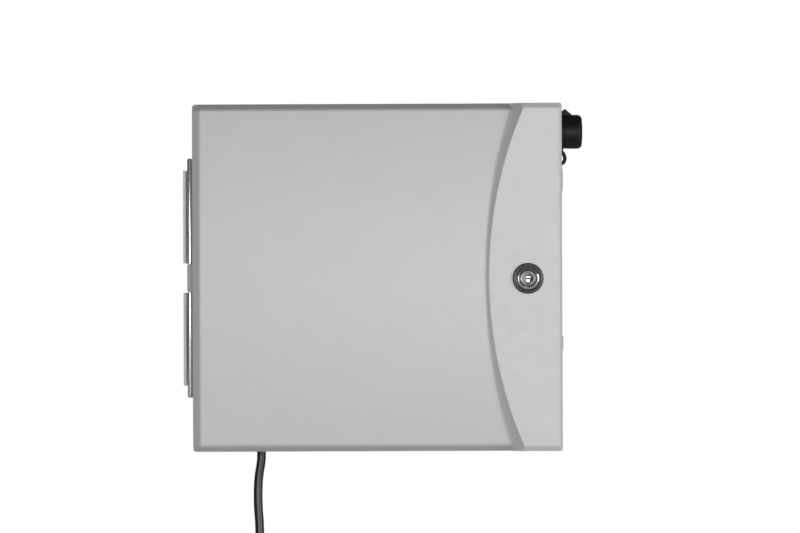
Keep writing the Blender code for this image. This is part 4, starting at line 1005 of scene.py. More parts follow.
cap = Workpiece("port_cover", black_rubber)
cap_profile = [
    (0.0099, 0.014), (0.0099, 0.0004), (0.0102, 0.0), (0.0156, 0.0), (0.0159, 0.0004), (0.0159, 0.0038),
    (0.0156, 0.0043), (0.0149, 0.0045), (0.0145, 0.0047), (0.0145, 0.0053), (0.015, 0.0056),
    (0.0151, 0.015), (0.01507, 0.016), (0.01495, 0.017), (0.0147, 0.0179), (0.0143, 0.0187),
    (0.01375, 0.0194), (0.0131, 0.0199), (0.0123, 0.0203), (0.0113, 0.0205), (0.0105, 0.0202),
    (0.0099, 0.0202), (0.0094, 0.0206), (0.006, 0.0209), (0, 0.021)
]
cap.turn([(0, 0.014)] + cap_profile, CAP, "right", 0, 72)
tab_side = [
    (0.0002, 0.0121), (0.0117, 0.0121), (0.0117, 0.0152), (0.0104, 0.0162), (0.0086, 0.0178),
    (0.0067, 0.0194), (0.0058, 0.02), (0.0047, 0.0199), (0.0032, 0.0186), (0.0016, 0.0168),
    (0.0003, 0.016)
]
rings = []
for offset, pull in ((-0.003, 0.0006), (-0.0026, 0.0), (0.0026, 0.0), (0.003, 0.0006)):
    ring = []
    for x, z in tab_side:
        ring.append(CAP + Vector((x + (0.005 - x) * pull * 60, offset, z + (0.015 - z) * pull * 60)))
    rings.append(ring)
cap.skin(rings)
cap.fix("cap", "rubber", "port_cap", sharp=45)

STRAP_THICK = 0.0033
strap_middle = Vector((CAP.x + 0.0004, PORT.y, PORT.z - 0.0228))
strap_path = (
    (-0.0034, -0.0062), (-0.0018, -0.0063), (0.0008, -0.006), (0.003, -0.005), (0.0044, -0.0034),
    (0.005, -0.0014), (0.0048, 0.0008), (0.004, 0.0028), (0.003, 0.0044), (0.002, 0.0058),
    (0.0016, 0.0066)
)
knots = [strap_middle + Vector((x, 0, z)) for x, z in strap_path]
knots = [2 * knots[0] - knots[1]] + knots + [2 * knots[-1] - knots[-2]]
line = []
for before, here, after, beyond in zip(knots, knots[1:], knots[2:], knots[3:]):
    for step in range(4):
        t = step / 4
        bend = 2 * before - 5 * here + 4 * after - beyond
        twist = 3 * (here - after) + beyond - before
        line.append((2 * here + (after - before) * t + bend * t**2 + twist * t**3) / 2)
line.append(knots[-2])
tether = Workpiece("cap_strap", black_rubber)
rings = []
for i, point in enumerate(line):
    along = (line[min(i + 1, len(line) - 1)] - line[max(i - 1, 0)]).normalized()
    out = Vector((along.z, 0, -along.x))
    ring = []
    for step in range(16):
        angle = 2 * math.pi * step / 16
        across, over = math.cos(angle), math.sin(angle)
        across = math.copysign(abs(across) ** 0.6, across)
        over = math.copysign(abs(over) ** 0.6, over)
        ring.append(point + Vector((0, 1, 0)) * across * STRAP_HALF_WIDTH + out * over * STRAP_THICK / 2)
    rings.append(ring)
tether.skin(rings)
tether_piece = tether.make(60)
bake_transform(tether_piece)
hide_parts("cap_tether")

# Hole plugs ----------------------------------------------------------------------------
# Press-in ABS plugs close the unused cable entries: two in the floor and two in the right
# wall. Each has a shallow dish, a prising notch and a snap lip inside.

PLUG_NECK = 0.0015
SIDE_HEAD, FLOOR_HEAD = 0.0062, 0.003
plugs = (
    ("conduit_cover_large", "conduit_plug_large", (0.02, -0.045, -0.1488), "down", 0.0172),
    ("conduit_cover_small", "conduit_plug_small", (0.085, -0.045, -0.1488), "down", 0.0139),
    ("side_cover_upper", "side_plug_upper", (0.1583, -0.05, 0.0857), "right", 0.0112),
    ("side_cover_lower", "side_plug_lower", (0.1583, -0.05, -0.0588), "right", 0.007),
)
for name, node, at, facing, radius in plugs:
    piece = Workpiece(name, case_plastic)
    neck = radius - PLUG_NECK
    head = SIDE_HEAD if facing == "right" else FLOOR_HEAD
    profile = [
        (0, -0.005), (neck - 0.0018, -0.005), (neck - 0.001, -0.0056), (neck, -0.0052), (neck, -0.0002),
        (radius - 0.0003, 0), (radius, 0.0003), (radius, head - 0.0016)
    ]
    profile += [
        (radius - 0.0003, head - 0.0008), (radius - 0.0011, head - 0.0002),
        (radius - 0.0022, head - 0.0001), (radius - 0.0028, head - 0.0005),
        (radius * 0.5, head - 0.0009), (0, head - 0.0008)
    ]
    piece.turn(profile, at, facing, 0, 56)
    piece.fix("cabinet", "case", node)

# Inner panel ---------------------------------------------------------------------------
# A mid-grey ABS tray that swings out on its own steel rod between two brackets, so that
# the wiring bay behind it can be reached.

inner_plastic = surface(
    "inner_plastic", (0.235, 0.245, 0.26), 0.5, 1300, 0.000045, 0.06, scuff=0.1,
    scuff_colour=(0.36, 0.37, 0.38)
)
dress("panel_frame", inner_plastic, 0.0006)
dress("panel_rod", zinc_steel)
for node in ("panel_bracket_upper", "panel_bracket_lower"):
    dress(node, inner_plastic, 0.0005)

panel_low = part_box("panel_frame")[0]
PANEL_FACE = panel_low.y
trim = Workpiece("panel_trim", inner_plastic)
for across in (0.108, 0.114, 0.12, 0.126, 0.132):
    trim.plate(
        [(0, -0.0002), (0, 0.0006), (0.0004, 0.001)], (across, PANEL_FACE, 0.058), (0.0024, 0.1),
        0.0012, "front", steps=4
    )
finger = [(0, -0.0002), (0, 0.003), (0.0006, 0.0036), (0.0016, 0.0036), (0.002, 0.003), (0.002, -0.0002)]
trim.plate(finger, (0.1315, PANEL_FACE, -0.0095), (0.018, 0.014), 0.004, "front", closed=True)
for across in (-0.112, 0.098):
    for up in (-0.013, 0.129):
        trim.turn(
            [(0, 0), (0.0042, 0), (0.0042, 0.0008), (0.0036, 0.0012), (0, 0.0012)],
            (across, PANEL_FACE, up), "front", 0, 28
        )
trim.fix("inner_panel", "inner")

# Control unit --------------------------------------------------------------------------
# The electronics sit behind a charcoal fascia screwed to the panel: a raised surround for
# the display, a printed ring of stations for the dial and a recessed strip for the keys.

fascia_plastic = surface(
    "fascia_plastic", (0.05, 0.053, 0.058), 0.46, 1600, 0.00004, 0.12, scuff=0.08,
    scuff_colour=(0.12, 0.12, 0.13)
)
white_print = surface("white_print", (0.78, 0.79, 0.78), 0.55, 2500, 0.000004, 0.04)
blue_print = surface("blue_print", (0.06, 0.22, 0.42), 0.5, 2500, 0.000004, 0.05)
dress("unit_housing", fascia_plastic)
unit_low, unit_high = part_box("unit_housing")
FASCIA = unit_low.y
UNIT_MIDDLE = ((unit_low.x + unit_high.x) / 2, (unit_low.z + unit_high.z) / 2)
WINDOW = (-0.056, 0.078)
DIAL = (0.046, 0.074)
KEYS = [(-0.092 + 0.024 * n, 0.024) for n in range(5)]

surround = Workpiece("fascia_trim", fascia_plastic, blue_print)
frame_stack = [
    (-0.005, -0.0001), (-0.005, 0.0008), (-0.0044, 0.0014), (-0.0014, 0.0014), (-0.0002, 0.0006),
    (0, 0.0001), (0, -0.001)
]
surround.plate(
    frame_stack, (WINDOW[0], FASCIA, WINDOW[1]), (0.092, 0.05), 0.0008, "front", closed=True, steps=6
)
edge_stack = [(0.0002, -0.0001), (0.0004, 0.0005), (0.0012, 0.0008), (0.002, 0.0005), (0.0022, -0.0001)]
surround.plate(
    edge_stack, (UNIT_MIDDLE[0], FASCIA, UNIT_MIDDLE[1]),
    (unit_high.x - unit_low.x - 0.004, unit_high.z - unit_low.z - 0.004), 0.004, "front", closed=True
)
key_stack = [(0, -0.0001), (0, 0.0004), (0.0005, 0.0007), (0.0012, 0.0004), (0.0012, -0.0001)]
surround.plate(key_stack, (-0.044, FASCIA, 0.0215), (0.126, 0.028), 0.006, "front", closed=True, steps=6)
for x, z in KEYS:
    surround.turn(
        [(0.007, -0.0001), (0.007, 0.0004), (0.0076, 0.0006), (0.0082, 0.0004), (0.0084, -0.0001)],
        (x, FASCIA, z), "front", 0, 40, closed=True
    )
surround.turn(
    [(0.0246, -0.0001), (0.0246, 0.0003), (0.025, 0.0005), (0.0254, 0.0003), (0.0256, -0.0001)],
    (DIAL[0], FASCIA, DIAL[1]), "front", 1, 96, closed=True
)
surround.plate(
    [(0, -0.0001), (0.0001, 0.0001)], (-0.012, FASCIA, 0.0445), (0.184, 0.0009), 0.0004, "front", 1
)
for x, z in ((-0.1075, 0.1115), (0.0835, 0.1115), (-0.1075, 0.0045), (0.0835, 0.0045)):
    surround.turn(
        [(0, -0.0001), (0.0021, -0.0001), (0.0019, 0.0006), (0.0012, 0.0009), (0, 0.0009)],
        (x, FASCIA, z), "front", 0, 20
    )
surround.fix("inner_panel", "dark")

# Printed marks -------------------------------------------------------------------------
# Screen-printed white marks on the fascia: a tick and a plain number for each station
# round the dial, and a symbol under each key.

PRINT = 0.00005


def printed_text(words, x, z, size, at_y):
    """A short printed mark, flat on a face that looks forward."""
    text = bpy.data.curves.new("mark_" + words, "FONT")
    text.body = words
    text.size = size
    text.align_x = text.align_y = "CENTER"
    text.extrude = PRINT
    drawn = bpy.data.objects.new("mark_" + words, text)
    drawn.location = (x, at_y, z)
    drawn.rotation_euler = (math.pi / 2, 0, 0)
    bpy.context.scene.collection.objects.link(drawn)
    bpy.context.view_layer.update()
    graph = bpy.context.evaluated_depsgraph_get()
    mesh = bpy.data.meshes.new_from_object(drawn.evaluated_get(graph))
    mesh.transform(drawn.matrix_world)
    bpy.data.objects.remove(drawn, do_unlink=True)
    return mesh


STATIONS = 12
marks = Workpiece("fascia_print", white_print)
for number in range(STATIONS):
    angle = math.pi / 2 - 2 * math.pi * number / STATIONS
    cos, sin = math.cos(angle), math.sin(angle)
    side = (-sin * 0.00035, cos * 0.00035)
    rings = []
    corners = [
        (0.0262 * cos - side[0], 0.0262 * sin - side[1]),
        (0.028 * cos - side[0], 0.028 * sin - side[1]), (0.028 * cos + side[0], 0.028 * sin + side[1]),
        (0.0262 * cos + side[0], 0.0262 * sin + side[1])
    ]
    for height in (-PRINT, PRINT):
        rings.append([Vector((DIAL[0] + x, FASCIA - height, DIAL[1] + z)) for x, z in corners])
    marks.skin(rings)
    digits = printed_text(str(number + 1), DIAL[0] + 0.0322 * cos, DIAL[1] + 0.0322 * sin, 0.005, FASCIA)
    marks.shape.from_mesh(digits)
symbols = {
    0: [
        [(-0.003, 0.0), (0.003, 0.0), (0.003, 0.0007), (-0.003, 0.0007)],
        [(-0.003, -0.0014), (0.003, -0.0014), (0.003, -0.0007), (-0.003, -0.0007)]
    ],
    1: [[(-0.0024, 0), (0.0014, 0.002), (0.0014, -0.002)]],
    2: [[(-0.0022, -0.00045), (0.0022, -0.00045), (0.0022, 0.00045), (-0.0022, 0.00045)]],
    3: [
        [(-0.0022, -0.00045), (0.0022, -0.00045), (0.0022, 0.00045), (-0.0022, 0.00045)],
        [(-0.00045, 0.00046), (0.00045, 0.00046), (0.00045, 0.0022), (-0.00045, 0.0022)],
        [(-0.00045, -0.0022), (0.00045, -0.0022), (0.00045, -0.00046), (-0.00045, -0.00046)]
    ],
    4: [[(-0.0014, -0.002), (-0.0014, 0.002), (0.0024, 0)]],
}
for number, (x, z) in enumerate(KEYS):
    for corners in symbols[number]:
        rings = []
        for height in (-PRINT, PRINT):
            rings.append([Vector((x + px, FASCIA - height, z - 0.0115 + pz)) for px, pz in corners])
        marks.skin(rings)
for x, z, wide in ((0.0345, 0.0105, 0.0008), (0.0495, 0.0105, 0.003)):
    rings = []
    for height in (-PRINT, PRINT):
        rings.append(
            [
                Vector((x + px, FASCIA - height, z + pz)) for px,
                pz in ((-wide / 2, -0.0016), (wide / 2, -0.0016), (wide / 2, 0.0016), (-wide / 2, 0.0016))
            ]
        )
    marks.skin(rings)
marks.fix("inner_panel", "dark")

# Display -------------------------------------------------------------------------------
# A reflective liquid crystal glass in a black carrier behind a clear window. The segments
# stand as dark film on the grey-green cell: a clock, a row of stations and a run bar.

cell_glass = surface("cell_glass", (0.33, 0.38, 0.3), 0.22, 400, 0.000002, 0.05)
segment_film = surface("segment_film", (0.02, 0.026, 0.022), 0.35, 900, 0.000002, 0.15)
carrier_plastic = surface("carrier_plastic", (0.018, 0.018, 0.019), 0.4, 1200, 0.00003, 0.2)
display_low, display_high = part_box("display_module")
DISPLAY = display_low.y
display = Workpiece("display_cell", carrier_plastic, cell_glass, segment_film)
depth = display_high.y - display_low.y
display.plate(
    [(0.0004, -depth), (0, -depth + 0.0004), (0, -0.0004), (0.0003, -0.0002), (0.004, -0.0002)],
    (WINDOW[0], DISPLAY, WINDOW[1]), (0.0978, 0.0558), 0.0008, "front", 0
)
display.plate(
    [(0, -0.0004), (0.0001, -0.0001)], (WINDOW[0], DISPLAY, WINDOW[1]), (0.086, 0.044), 0.0004, "front",
    1
)


def film(corners):
    """One dark segment on the cell."""
    rings = []
    for height in (0.00008, 0.00014):
        rings.append([Vector((WINDOW[0] + x, DISPLAY - height, WINDOW[1] + z)) for x, z in corners])
    display.skin(rings, 2)


LIT = {
    "0": "abcdef", "1": "bc", "2": "abged", "3": "abgcd", "4": "fgbc", "5": "afgcd", "6": "afgedc",
    "7": "abc", "8": "abcdefg"
}


def seven_segments(digit, x, z, wide, high):
    """A digit of slim bars with mitred ends."""
    t, g = wide * 0.17, wide * 0.03
    half = high / 2
    flat = {"a": high - t / 2, "g": half, "d": t / 2}
    for name in LIT[digit]:
        if name in flat:
            mid = flat[name] + z
            left, right = x + t / 2 + g, x + wide - t / 2 - g
            film(
                [
                    (left, mid), (left + t / 2, mid - t / 2), (right - t / 2, mid - t / 2),
                    (right, mid), (right - t / 2, mid + t / 2), (left + t / 2, mid + t / 2)
                ]
            )
        else:
            mid = x + (t / 2 if name in "ef" else wide - t / 2)
            if name in "bf":
                low, high_end = z + half + g, z + high - t / 2 - g
            else:
                low, high_end = z + t / 2 + g, z + half - g
            film(
                [
                    (mid, low), (mid + t / 2, low + t / 2), (mid + t / 2, high_end - t / 2),
                    (mid, high_end), (mid - t / 2, high_end - t / 2), (mid - t / 2, low + t / 2)
                ]
            )


for digit, x in (("0", -0.018), ("6", -0.0065), ("3", 0.0085), ("0", 0.02)):
    seven_segments(digit, x, -0.0065, 0.0088, 0.016)
for z in (-0.001, 0.004):
    film([(0.0042, z), (0.0056, z), (0.0056, z + 0.0014), (0.0042, z + 0.0014)])
for digit, x in (("1", -0.0385), ("2", -0.0325)):
    seven_segments(digit, x, 0.0045, 0.0042, 0.0085)
for number in range(STATIONS):
    x = -0.0385 + number * 0.0064
    lit = number in (0, 1, 2, 5)
    high = 0.0034 if lit else 0.0007
    film([(x, -0.0175), (x + 0.0048, -0.0175), (x + 0.0048, -0.0175 + high), (x, -0.0175 + high)])
film([(-0.0385, -0.0112), (0.037, -0.0112), (0.037, -0.0108), (-0.0385, -0.0108)])
for step in range(9):
    x = -0.0385 + step * 0.0035
    film([(x, 0.016), (x + 0.0026, 0.016), (x + 0.0026, 0.019), (x, 0.019)])
for step in range(4):
    x = 0.03 + step * 0.0022
    film(
        [(x, 0.015), (x + 0.0014, 0.015), (x + 0.0014, 0.0165 + step * 0.0009), (x, 0.0165 + step * 0.0009)]
    )
display.fix("inner_panel", "dark", "display_module")

clear_window = surface("clear_window", (0.82, 0.86, 0.85), 0.09, 400, 0.000002, 0.02)
clear_window.node_tree.nodes["Principled BSDF"].inputs["Alpha"].default_value = 0.14
dress("display_window", clear_window, 0.0003)

# Circuit board behind the fascia --------------------------------------------------------
# A plain green fibreglass board cut to size and held behind the fascia, seen from behind
# when the panel is swung out.

green_board = surface("green_board", (0.018, 0.13, 0.058), 0.32, 260, 0.00002, 0.3)
tinned = surface("tinned", (0.66, 0.66, 0.64), 0.28, 900, 0.00003, 0.1, metal=1.0)
chip_black = surface("chip_black", (0.02, 0.02, 0.022), 0.55, 1800, 0.00003, 0.2)
ceramic = surface("ceramic", (0.42, 0.33, 0.22), 0.45, 1500, 0.00002, 0.12)
dress("control_board", green_board, 0.0002)

# Dial ----------------------------------------------------------------------------------
# The turning knob is pale grey, with a thin skirt, a fluted grip and a raised white
# pointer. It is pressed on the switch's shaft.

knob_plastic = surface("knob_plastic", (0.5, 0.515, 0.53), 0.42, 1500, 0.00003, 0.04)
dial_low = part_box("dial_knob")[0]
DIAL_FRONT = dial_low.y
skirt_back = FASCIA - 0.0003
dial = Workpiece("dial", knob_plastic, white_print, blue_print)
skirt = DIAL_FRONT + 0.014 - skirt_back
at = Vector((DIAL[0], skirt_back, DIAL[1]))
dial.turn(
    [
        (0.0029, -0.01), (0.0029, 0.0004), (0.0232, 0.0004), (0.0236, 0.0), (0.0239, 0.0003),
        (0.024, 0.001), (0.0238, 0.0018), (0.023, 0.0026), (0.02, 0.0034), (0.019, 0.004), (0, 0.004),
        (0, -0.01)
    ],
    at, "front", 0, 96
)
rings = []
for inset, height in (
    (0.0002, 0.003), (0.0, 0.0042), (0.0006, 0.012), (0.0011, 0.0133), (0.0022, 0.0141), (0.004, 0.014),
    (0.0075, 0.0134), (0.012, 0.0132)
):
    ring = []
    for step in range(144):
        angle = 2 * math.pi * step / 144
        flute = 0.00055 * max(0, math.cos(angle * 24)) ** 0.7 * (1 if inset < 0.0035 else 0)
        radius = 0.0172 - inset - flute
        ring.append(at + Vector((radius * math.cos(angle), -height, radius * math.sin(angle))))
    rings.append(ring)
dial.skin(rings, ends=True)
dial.plate(
    [(0, 0.003), (0, 0.0041), (0.0003, 0.0044)], at + Vector((0, 0, 0.0208)), (0.0016, 0.005), 0.0007,
    "front", 1
)
dial.plate(
    [(0, 0.0128), (0, 0.0142), (0.0003, 0.0145)], at + Vector((0, 0, 0.0095)), (0.0016, 0.0085), 0.0007,
    "front", 1
)
dial.fix("dial", "button", "dial_knob")

# Keys ----------------------------------------------------------------------------------
# Five round silicone-backed key caps with dished tops. Each rides in its own hole and
# stands about 2 mm proud.

key_plastic = surface("key_plastic", (0.46, 0.475, 0.49), 0.48, 1700, 0.00003, 0.04)
for name, (x, z) in zip(("program", "back", "minus", "plus", "next"), KEYS):
    low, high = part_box("button_" + name)
    key = Workpiece("key_" + name, key_plastic, blue_print)
    deep = high.y - low.y
    profile = [
        (0, 0), (0.0079, 0), (0.0079, 0.0013), (0.0077, 0.0015), (0.0065, 0.0015),
        (0.0065, deep - 0.0008), (0.0063, deep - 0.0003), (0.0057, deep), (0.005, deep - 0.0001),
        (0.003, deep - 0.0004), (0, deep - 0.0006)
    ]
    key.turn(profile, (x, high.y, z), "front", 0, 48)
    key.turn(
        [
            (0, deep - 0.001), (0.0012, deep - 0.001), (0.0011, deep - 0.00025),
            (0.0008, deep - 0.0001), (0, deep - 0.0001)
        ],
        (x, high.y, z), "front", 1, 20
    )
    key.fix(name + "_button", "button", "button_" + name)

# Slide switch --------------------------------------------------------------------------
# A small ribbed slider in moulded plastic that bypasses the rain sensor. It runs in a
# slot in the fascia.

low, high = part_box("bypass_switch")
slider = Workpiece("bypass_slider_cap", key_plastic)
middle = ((low.x + high.x) / 2, (low.z + high.z) / 2)
slider.plate(
    [(0, 0), (0, 0.0015)], (middle[0], high.y, middle[1]), (high.x - low.x, high.z - low.z), 0.001,
    "front"
)
reach = high.y - low.y
slider.plate(
    [(0, 0.001), (0, reach - 0.001), (0.0004, reach - 0.0006)], (middle[0], high.y, middle[1]),
    (0.008, 0.0062), 0.0006, "front"
)
for step in range(4):
    x = middle[0] - 0.0027 + step * 0.0018
    slider.plate(
        [(0, reach - 0.0012), (0, reach - 0.0002), (0.0002, reach)], (x, high.y, middle[1]),
        (0.0007, 0.0054), 0.0003, "front", steps=3
    )
slider.fix("bypass_slider", "button", "bypass_switch")

# Clock battery -------------------------------------------------------------------------
# A nine volt block cell in a printed wrap with a copper-coloured band. It sits in a clip
# tray behind the inner panel.

battery_wrap = surface(
    "battery_wrap", (0.045, 0.048, 0.055), 0.3, 500, 0.00002, 0.2, scuff=0.1,
    scuff_colour=(0.2, 0.2, 0.2)
)
battery_band = surface("battery_band", (0.6, 0.36, 0.1), 0.3, 500, 0.00001, 0.08, metal=0.6)
dress("battery_tray", fascia_plastic, 0.0003)
low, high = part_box("battery")
cell = Workpiece("clock_battery", battery_wrap, battery_band, tinned)
size = high - low
middle = (low + high) / 2
stack = [(0.0012, 0), (0.0004, 0.0003), (0, 0.001), (0, size.z * 0.68)]
cell.plate(stack, (middle.x, middle.y, low.z), (size.x, size.y), 0.003, "up", 0)
stack = [(0, size.z * 0.68), (0, size.z - 0.001), (0.0004, size.z - 0.0003), (0.0012, size.z)]
cell.plate(stack, (middle.x, middle.y, low.z), (size.x, size.y), 0.003, "up", 1)
cell.fix("inner_panel", "copper", "battery")

# Ribbon cable --------------------------------------------------------------------------
# A flat ten-way ribbon joins the two boards. It runs round the panel's rod, where it
# would fold like a hinge as the panel swings; here it is one fixed shape.

ribbon_grey = surface("ribbon_grey", (0.4, 0.41, 0.43), 0.5, 1200, 0.00003, 0.05)
ribbon_mark = surface("ribbon_mark", (0.45, 0.03, 0.03), 0.5, 1200, 0.00003, 0.05)


def ribbon(name, line, wide, over, ways, *ends):
    """A flat cable of round conductors side by side, the first one red."""
    cable = Workpiece(name, ribbon_grey, ribbon_mark)
    over = Vector(over)
    pitch = wide / ways
    for way in range(ways):
        shift = over * (pitch * (way + 0.5) - wide / 2)
        cable.rod([Vector(p) + shift for p in line], pitch * 0.54, 1 if way == 0 else 0, 8)
    made = cable.make(70)
    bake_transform(made)
    return made


def smooth_line(points, steps=8):
    """Points on a smooth curve through a few given ones."""
    points = [Vector(p) for p in points]
    ends = [2 * points[0] - points[1]] + points + [2 * points[-1] - points[-2]]
    line = []
    for a, b, c, d in zip(ends, ends[1:], ends[2:], ends[3:]):
        for step in range(steps):
            t = step / steps
            line.append(
                (
                    2 * b + (c - a) * t + (2 * a - 5 * b + 4 * c - d) * t**2 + (3 * (b - c) + d - a) * t**3
                ) / 2
            )
    line.append(points[-1])
    return line


RIBBON_UP = 0.101
ribbon_path = [
    (-0.042, -0.0115, RIBBON_UP), (-0.056, -0.011, RIBBON_UP), (-0.09, -0.01, RIBBON_UP),
    (-0.124, -0.012, RIBBON_UP), (-0.14, -0.024, RIBBON_UP), (-0.144, -0.042, RIBBON_UP),
    (-0.1425, -0.06, RIBBON_UP), (-0.138, -0.07, RIBBON_UP), (-0.129, -0.0745, RIBBON_UP),
    (-0.116, -0.0757, RIBBON_UP), (-0.104, -0.0757, RIBBON_UP)
]
ribbon(
    "ribbon_cable", smooth_line(ribbon_path), 0.0127, (0, 0, 1), 10, "cabinet", "inner_panel",
    (-0.145, -0.034, RIBBON_UP), (-0.145, -0.0745, RIBBON_UP)
)

header = Workpiece("ribbon_plug", chip_black, tinned)
header.plate(
    [(0.0003, 0), (0, 0.0003), (0, 0.004), (0.0005, 0.0046)], (-0.0995, PANEL_FACE + 0.0026, RIBBON_UP),
    (0.0095, 0.019), 0.0006, "back", 0
)
header.plate(
    [(0, 0.004), (0, 0.0056), (0.0005, 0.006)], (-0.101, PANEL_FACE + 0.0026, RIBBON_UP),
    (0.003, 0.019), 0.0005, "back", 0
)
header.fix("inner_panel", "dark")

# Backplane -----------------------------------------------------------------------------
# A grey tray on the back wall holds a green board. Its tracks run down to the terminals,
# and each module plugs on to a row of tinned contacts.

dress("backplane_tray", inner_plastic, 0.0005)
dress("backplane_board", green_board, 0.0002)
board_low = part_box("backplane_board")[0]
BOARD_FACE = board_low.y
TRACK_FACE = BOARD_FACE + 0.00007
SOLDER_FACE = BOARD_FACE - 0.0001
TRACKS = 26
TRACK_PITCH = 0.0066
MODULE_PITCH = 0.036
LEG_PITCH = 0.00072
CHIP_LEG_REACH = 0.0026
track_green = surface("track_green", (0.03, 0.2, 0.09), 0.3, 300, 0.00001, 0.15)
parts = Workpiece("backplane_parts", track_green, tinned, chip_black, ceramic, white_print)
for number in range(TRACKS):
    x = board_low.x + 0.006 + number * TRACK_PITCH
    bend = 0.0016 if number % 3 else -0.0016
    parts.rod(
        [
            (x, TRACK_FACE, 0.129), (x, TRACK_FACE, 0.122),
            (x + bend, TRACK_FACE, 0.118), (x + bend, TRACK_FACE, 0.032)
        ],
        0.00035, 0, 6, flat=0.25
    )
    parts.turn(
        [(0.0005, -0.0001), (0.0009, -0.0001), (0.0009, 0.0001), (0.0005, 0.0001)],
        (x, BOARD_FACE, 0.1288), "front", 1, 14, closed=True
    )
for number in range(5):
    x = -0.022 + number * MODULE_PITCH
    parts.block(
        (x - 0.006, BOARD_FACE - 0.0018, 0.1266), (x - 0.002, SOLDER_FACE, 0.1296), 0.0002,
        finish=2
    )
    for leg in range(4):
        for side in (-1, 1):
            foot = x - 0.004 + side * CHIP_LEG_REACH
            parts.block(
                (foot - 0.0006, BOARD_FACE - 0.0006, 0.1268 + leg * LEG_PITCH),
                (foot + 0.0006, SOLDER_FACE, 0.1271 + leg * LEG_PITCH), 0.0001, finish=1
            )
    for spot in range(3):
        left = x + 0.001 + spot * 0.0028
        parts.block(
            (left, BOARD_FACE - 0.0008, 0.1266), (left + 0.0016, SOLDER_FACE, 0.1274), 0.0001,
            finish=3 if spot else 2
        )
        parts.block(
            (left, BOARD_FACE - 0.0008, 0.1284), (left + 0.0016, SOLDER_FACE, 0.1292), 0.0001,
            finish=2 if spot else 3
        )
parts.fix("cabinet", "board")

# Plug-in modules -----------------------------------------------------------------------
# One power module and four station modules in black polycarbonate. Each has a grip, a
# lamp and cooling slots, and the station modules have a numbered label.

module_plastic = surface(
    "module_plastic", (0.026, 0.027, 0.03), 0.46, 1500, 0.00004, 0.15, scuff=0.08,
    scuff_colour=(0.1, 0.1, 0.1)
)
lamp_green = surface("lamp_green", (0.05, 0.42, 0.1), 0.25, 900, 0.000005, 0.05)
MODULE_FACE = -0.0455
FIRST_MODULE_LEFT = -0.0392
HALF_MODULE = 0.0172
SLOT_PITCH = 0.0034
FIN_PITCH = 0.0046
DIGIT_PITCH = 0.008
module_bodies = ("power_unit", "output_unit_1", "output_unit_2", "output_unit_3", "output_unit_4")
module_nodes = ("power_module", "output_module_1", "output_module_2", "output_module_3", "output_module_4")
for number, (body, node) in enumerate(zip(module_bodies, module_nodes)):
    dress(node, module_plastic)
    left = FIRST_MODULE_LEFT + MODULE_PITCH * number
    middle = left + HALF_MODULE
    extra = Workpiece(body + "_details", module_plastic, tinned, white_print, lamp_green, battery_band)
    border = [(0, -0.0001), (0, 0.0004), (0.0004, 0.0007), (0.001, 0.0004), (0.001, -0.0001)]
    extra.plate(border, (middle, MODULE_FACE, 0.08), (0.03, 0.056), 0.002, "front", closed=True)
    extra.plate(
        [(0, -0.0001), (0.0001, 0.00015)], (middle, MODULE_FACE, 0.0865), (0.024, 0.0085), 0.001, "front", 2
    )
    extra.turn(
        [(0, 0), (0.0013, 0), (0.0012, 0.0008), (0.0007, 0.0013), (0, 0.0014)],
        (middle + 0.01, MODULE_FACE, 0.1045), "front", 3, 20
    )
    for row in range(6):
        extra.plate(
            [(0, -0.0001), (0, 0.0005), (0.0003, 0.0008)], (middle, MODULE_FACE, 0.056 + row * SLOT_PITCH),
            (0.022, 0.0013), 0.0006, "front", steps=3
        )
    if number == 0:
        for fin in range(7):
            x = left + 0.0032 + fin * FIN_PITCH
            extra.plate(
                [(0, -0.0001), (0, 0.0016), (0.0003, 0.002)], (x, -0.028, 0.112), (0.0012, 0.024),
                0.0004, "up", steps=3
            )
        extra.plate(
            [
                (0, -0.0001), (0.0002, 0.0003)
            ], (middle, MODULE_FACE, 0.1045), (0.012, 0.003), 0.0005, "front", 4
        )
    else:
        for slot_number in range(3):
            digits = printed_text(
                str(
                    3 * number - 2 + slot_number
                ), middle - DIGIT_PITCH + DIGIT_PITCH * slot_number, 0.0866, 0.005,
                MODULE_FACE - 0.0002
            )
            for loop_face in digits.polygons:
                loop_face.material_index = 0
            extra.shape.from_mesh(digits)
    extra.fix(body, "dark")

# Lock bar ------------------------------------------------------------------------------
# A pale acetal bar slides in two posts across the modules' feet and holds them in. Its
# left end turns forward as a finger grip.

dress("module_lock_bar", key_plastic, 0.0004)
low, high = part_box("module_lock_bar")
bar_marks = Workpiece("lock_bar_ribs", key_plastic)
for step in range(4):
    up = low.z + 0.0014 + step * 0.0017
    bar_marks.plate(
        [(0, -0.0001), (0, 0.0003), (0.0001, 0.0005)], (low.x + 0.003, low.y, up), (0.0046, 0.0006),
        0.0002, "front", steps=2
    )
bar_marks.fix("lock_bar", "button")

# Station terminals ---------------------------------------------------------------------
# A green polyamide strip of twelve rising-clamp terminals under the tray, with a slotted
# screw to each way and a number printed beneath it.

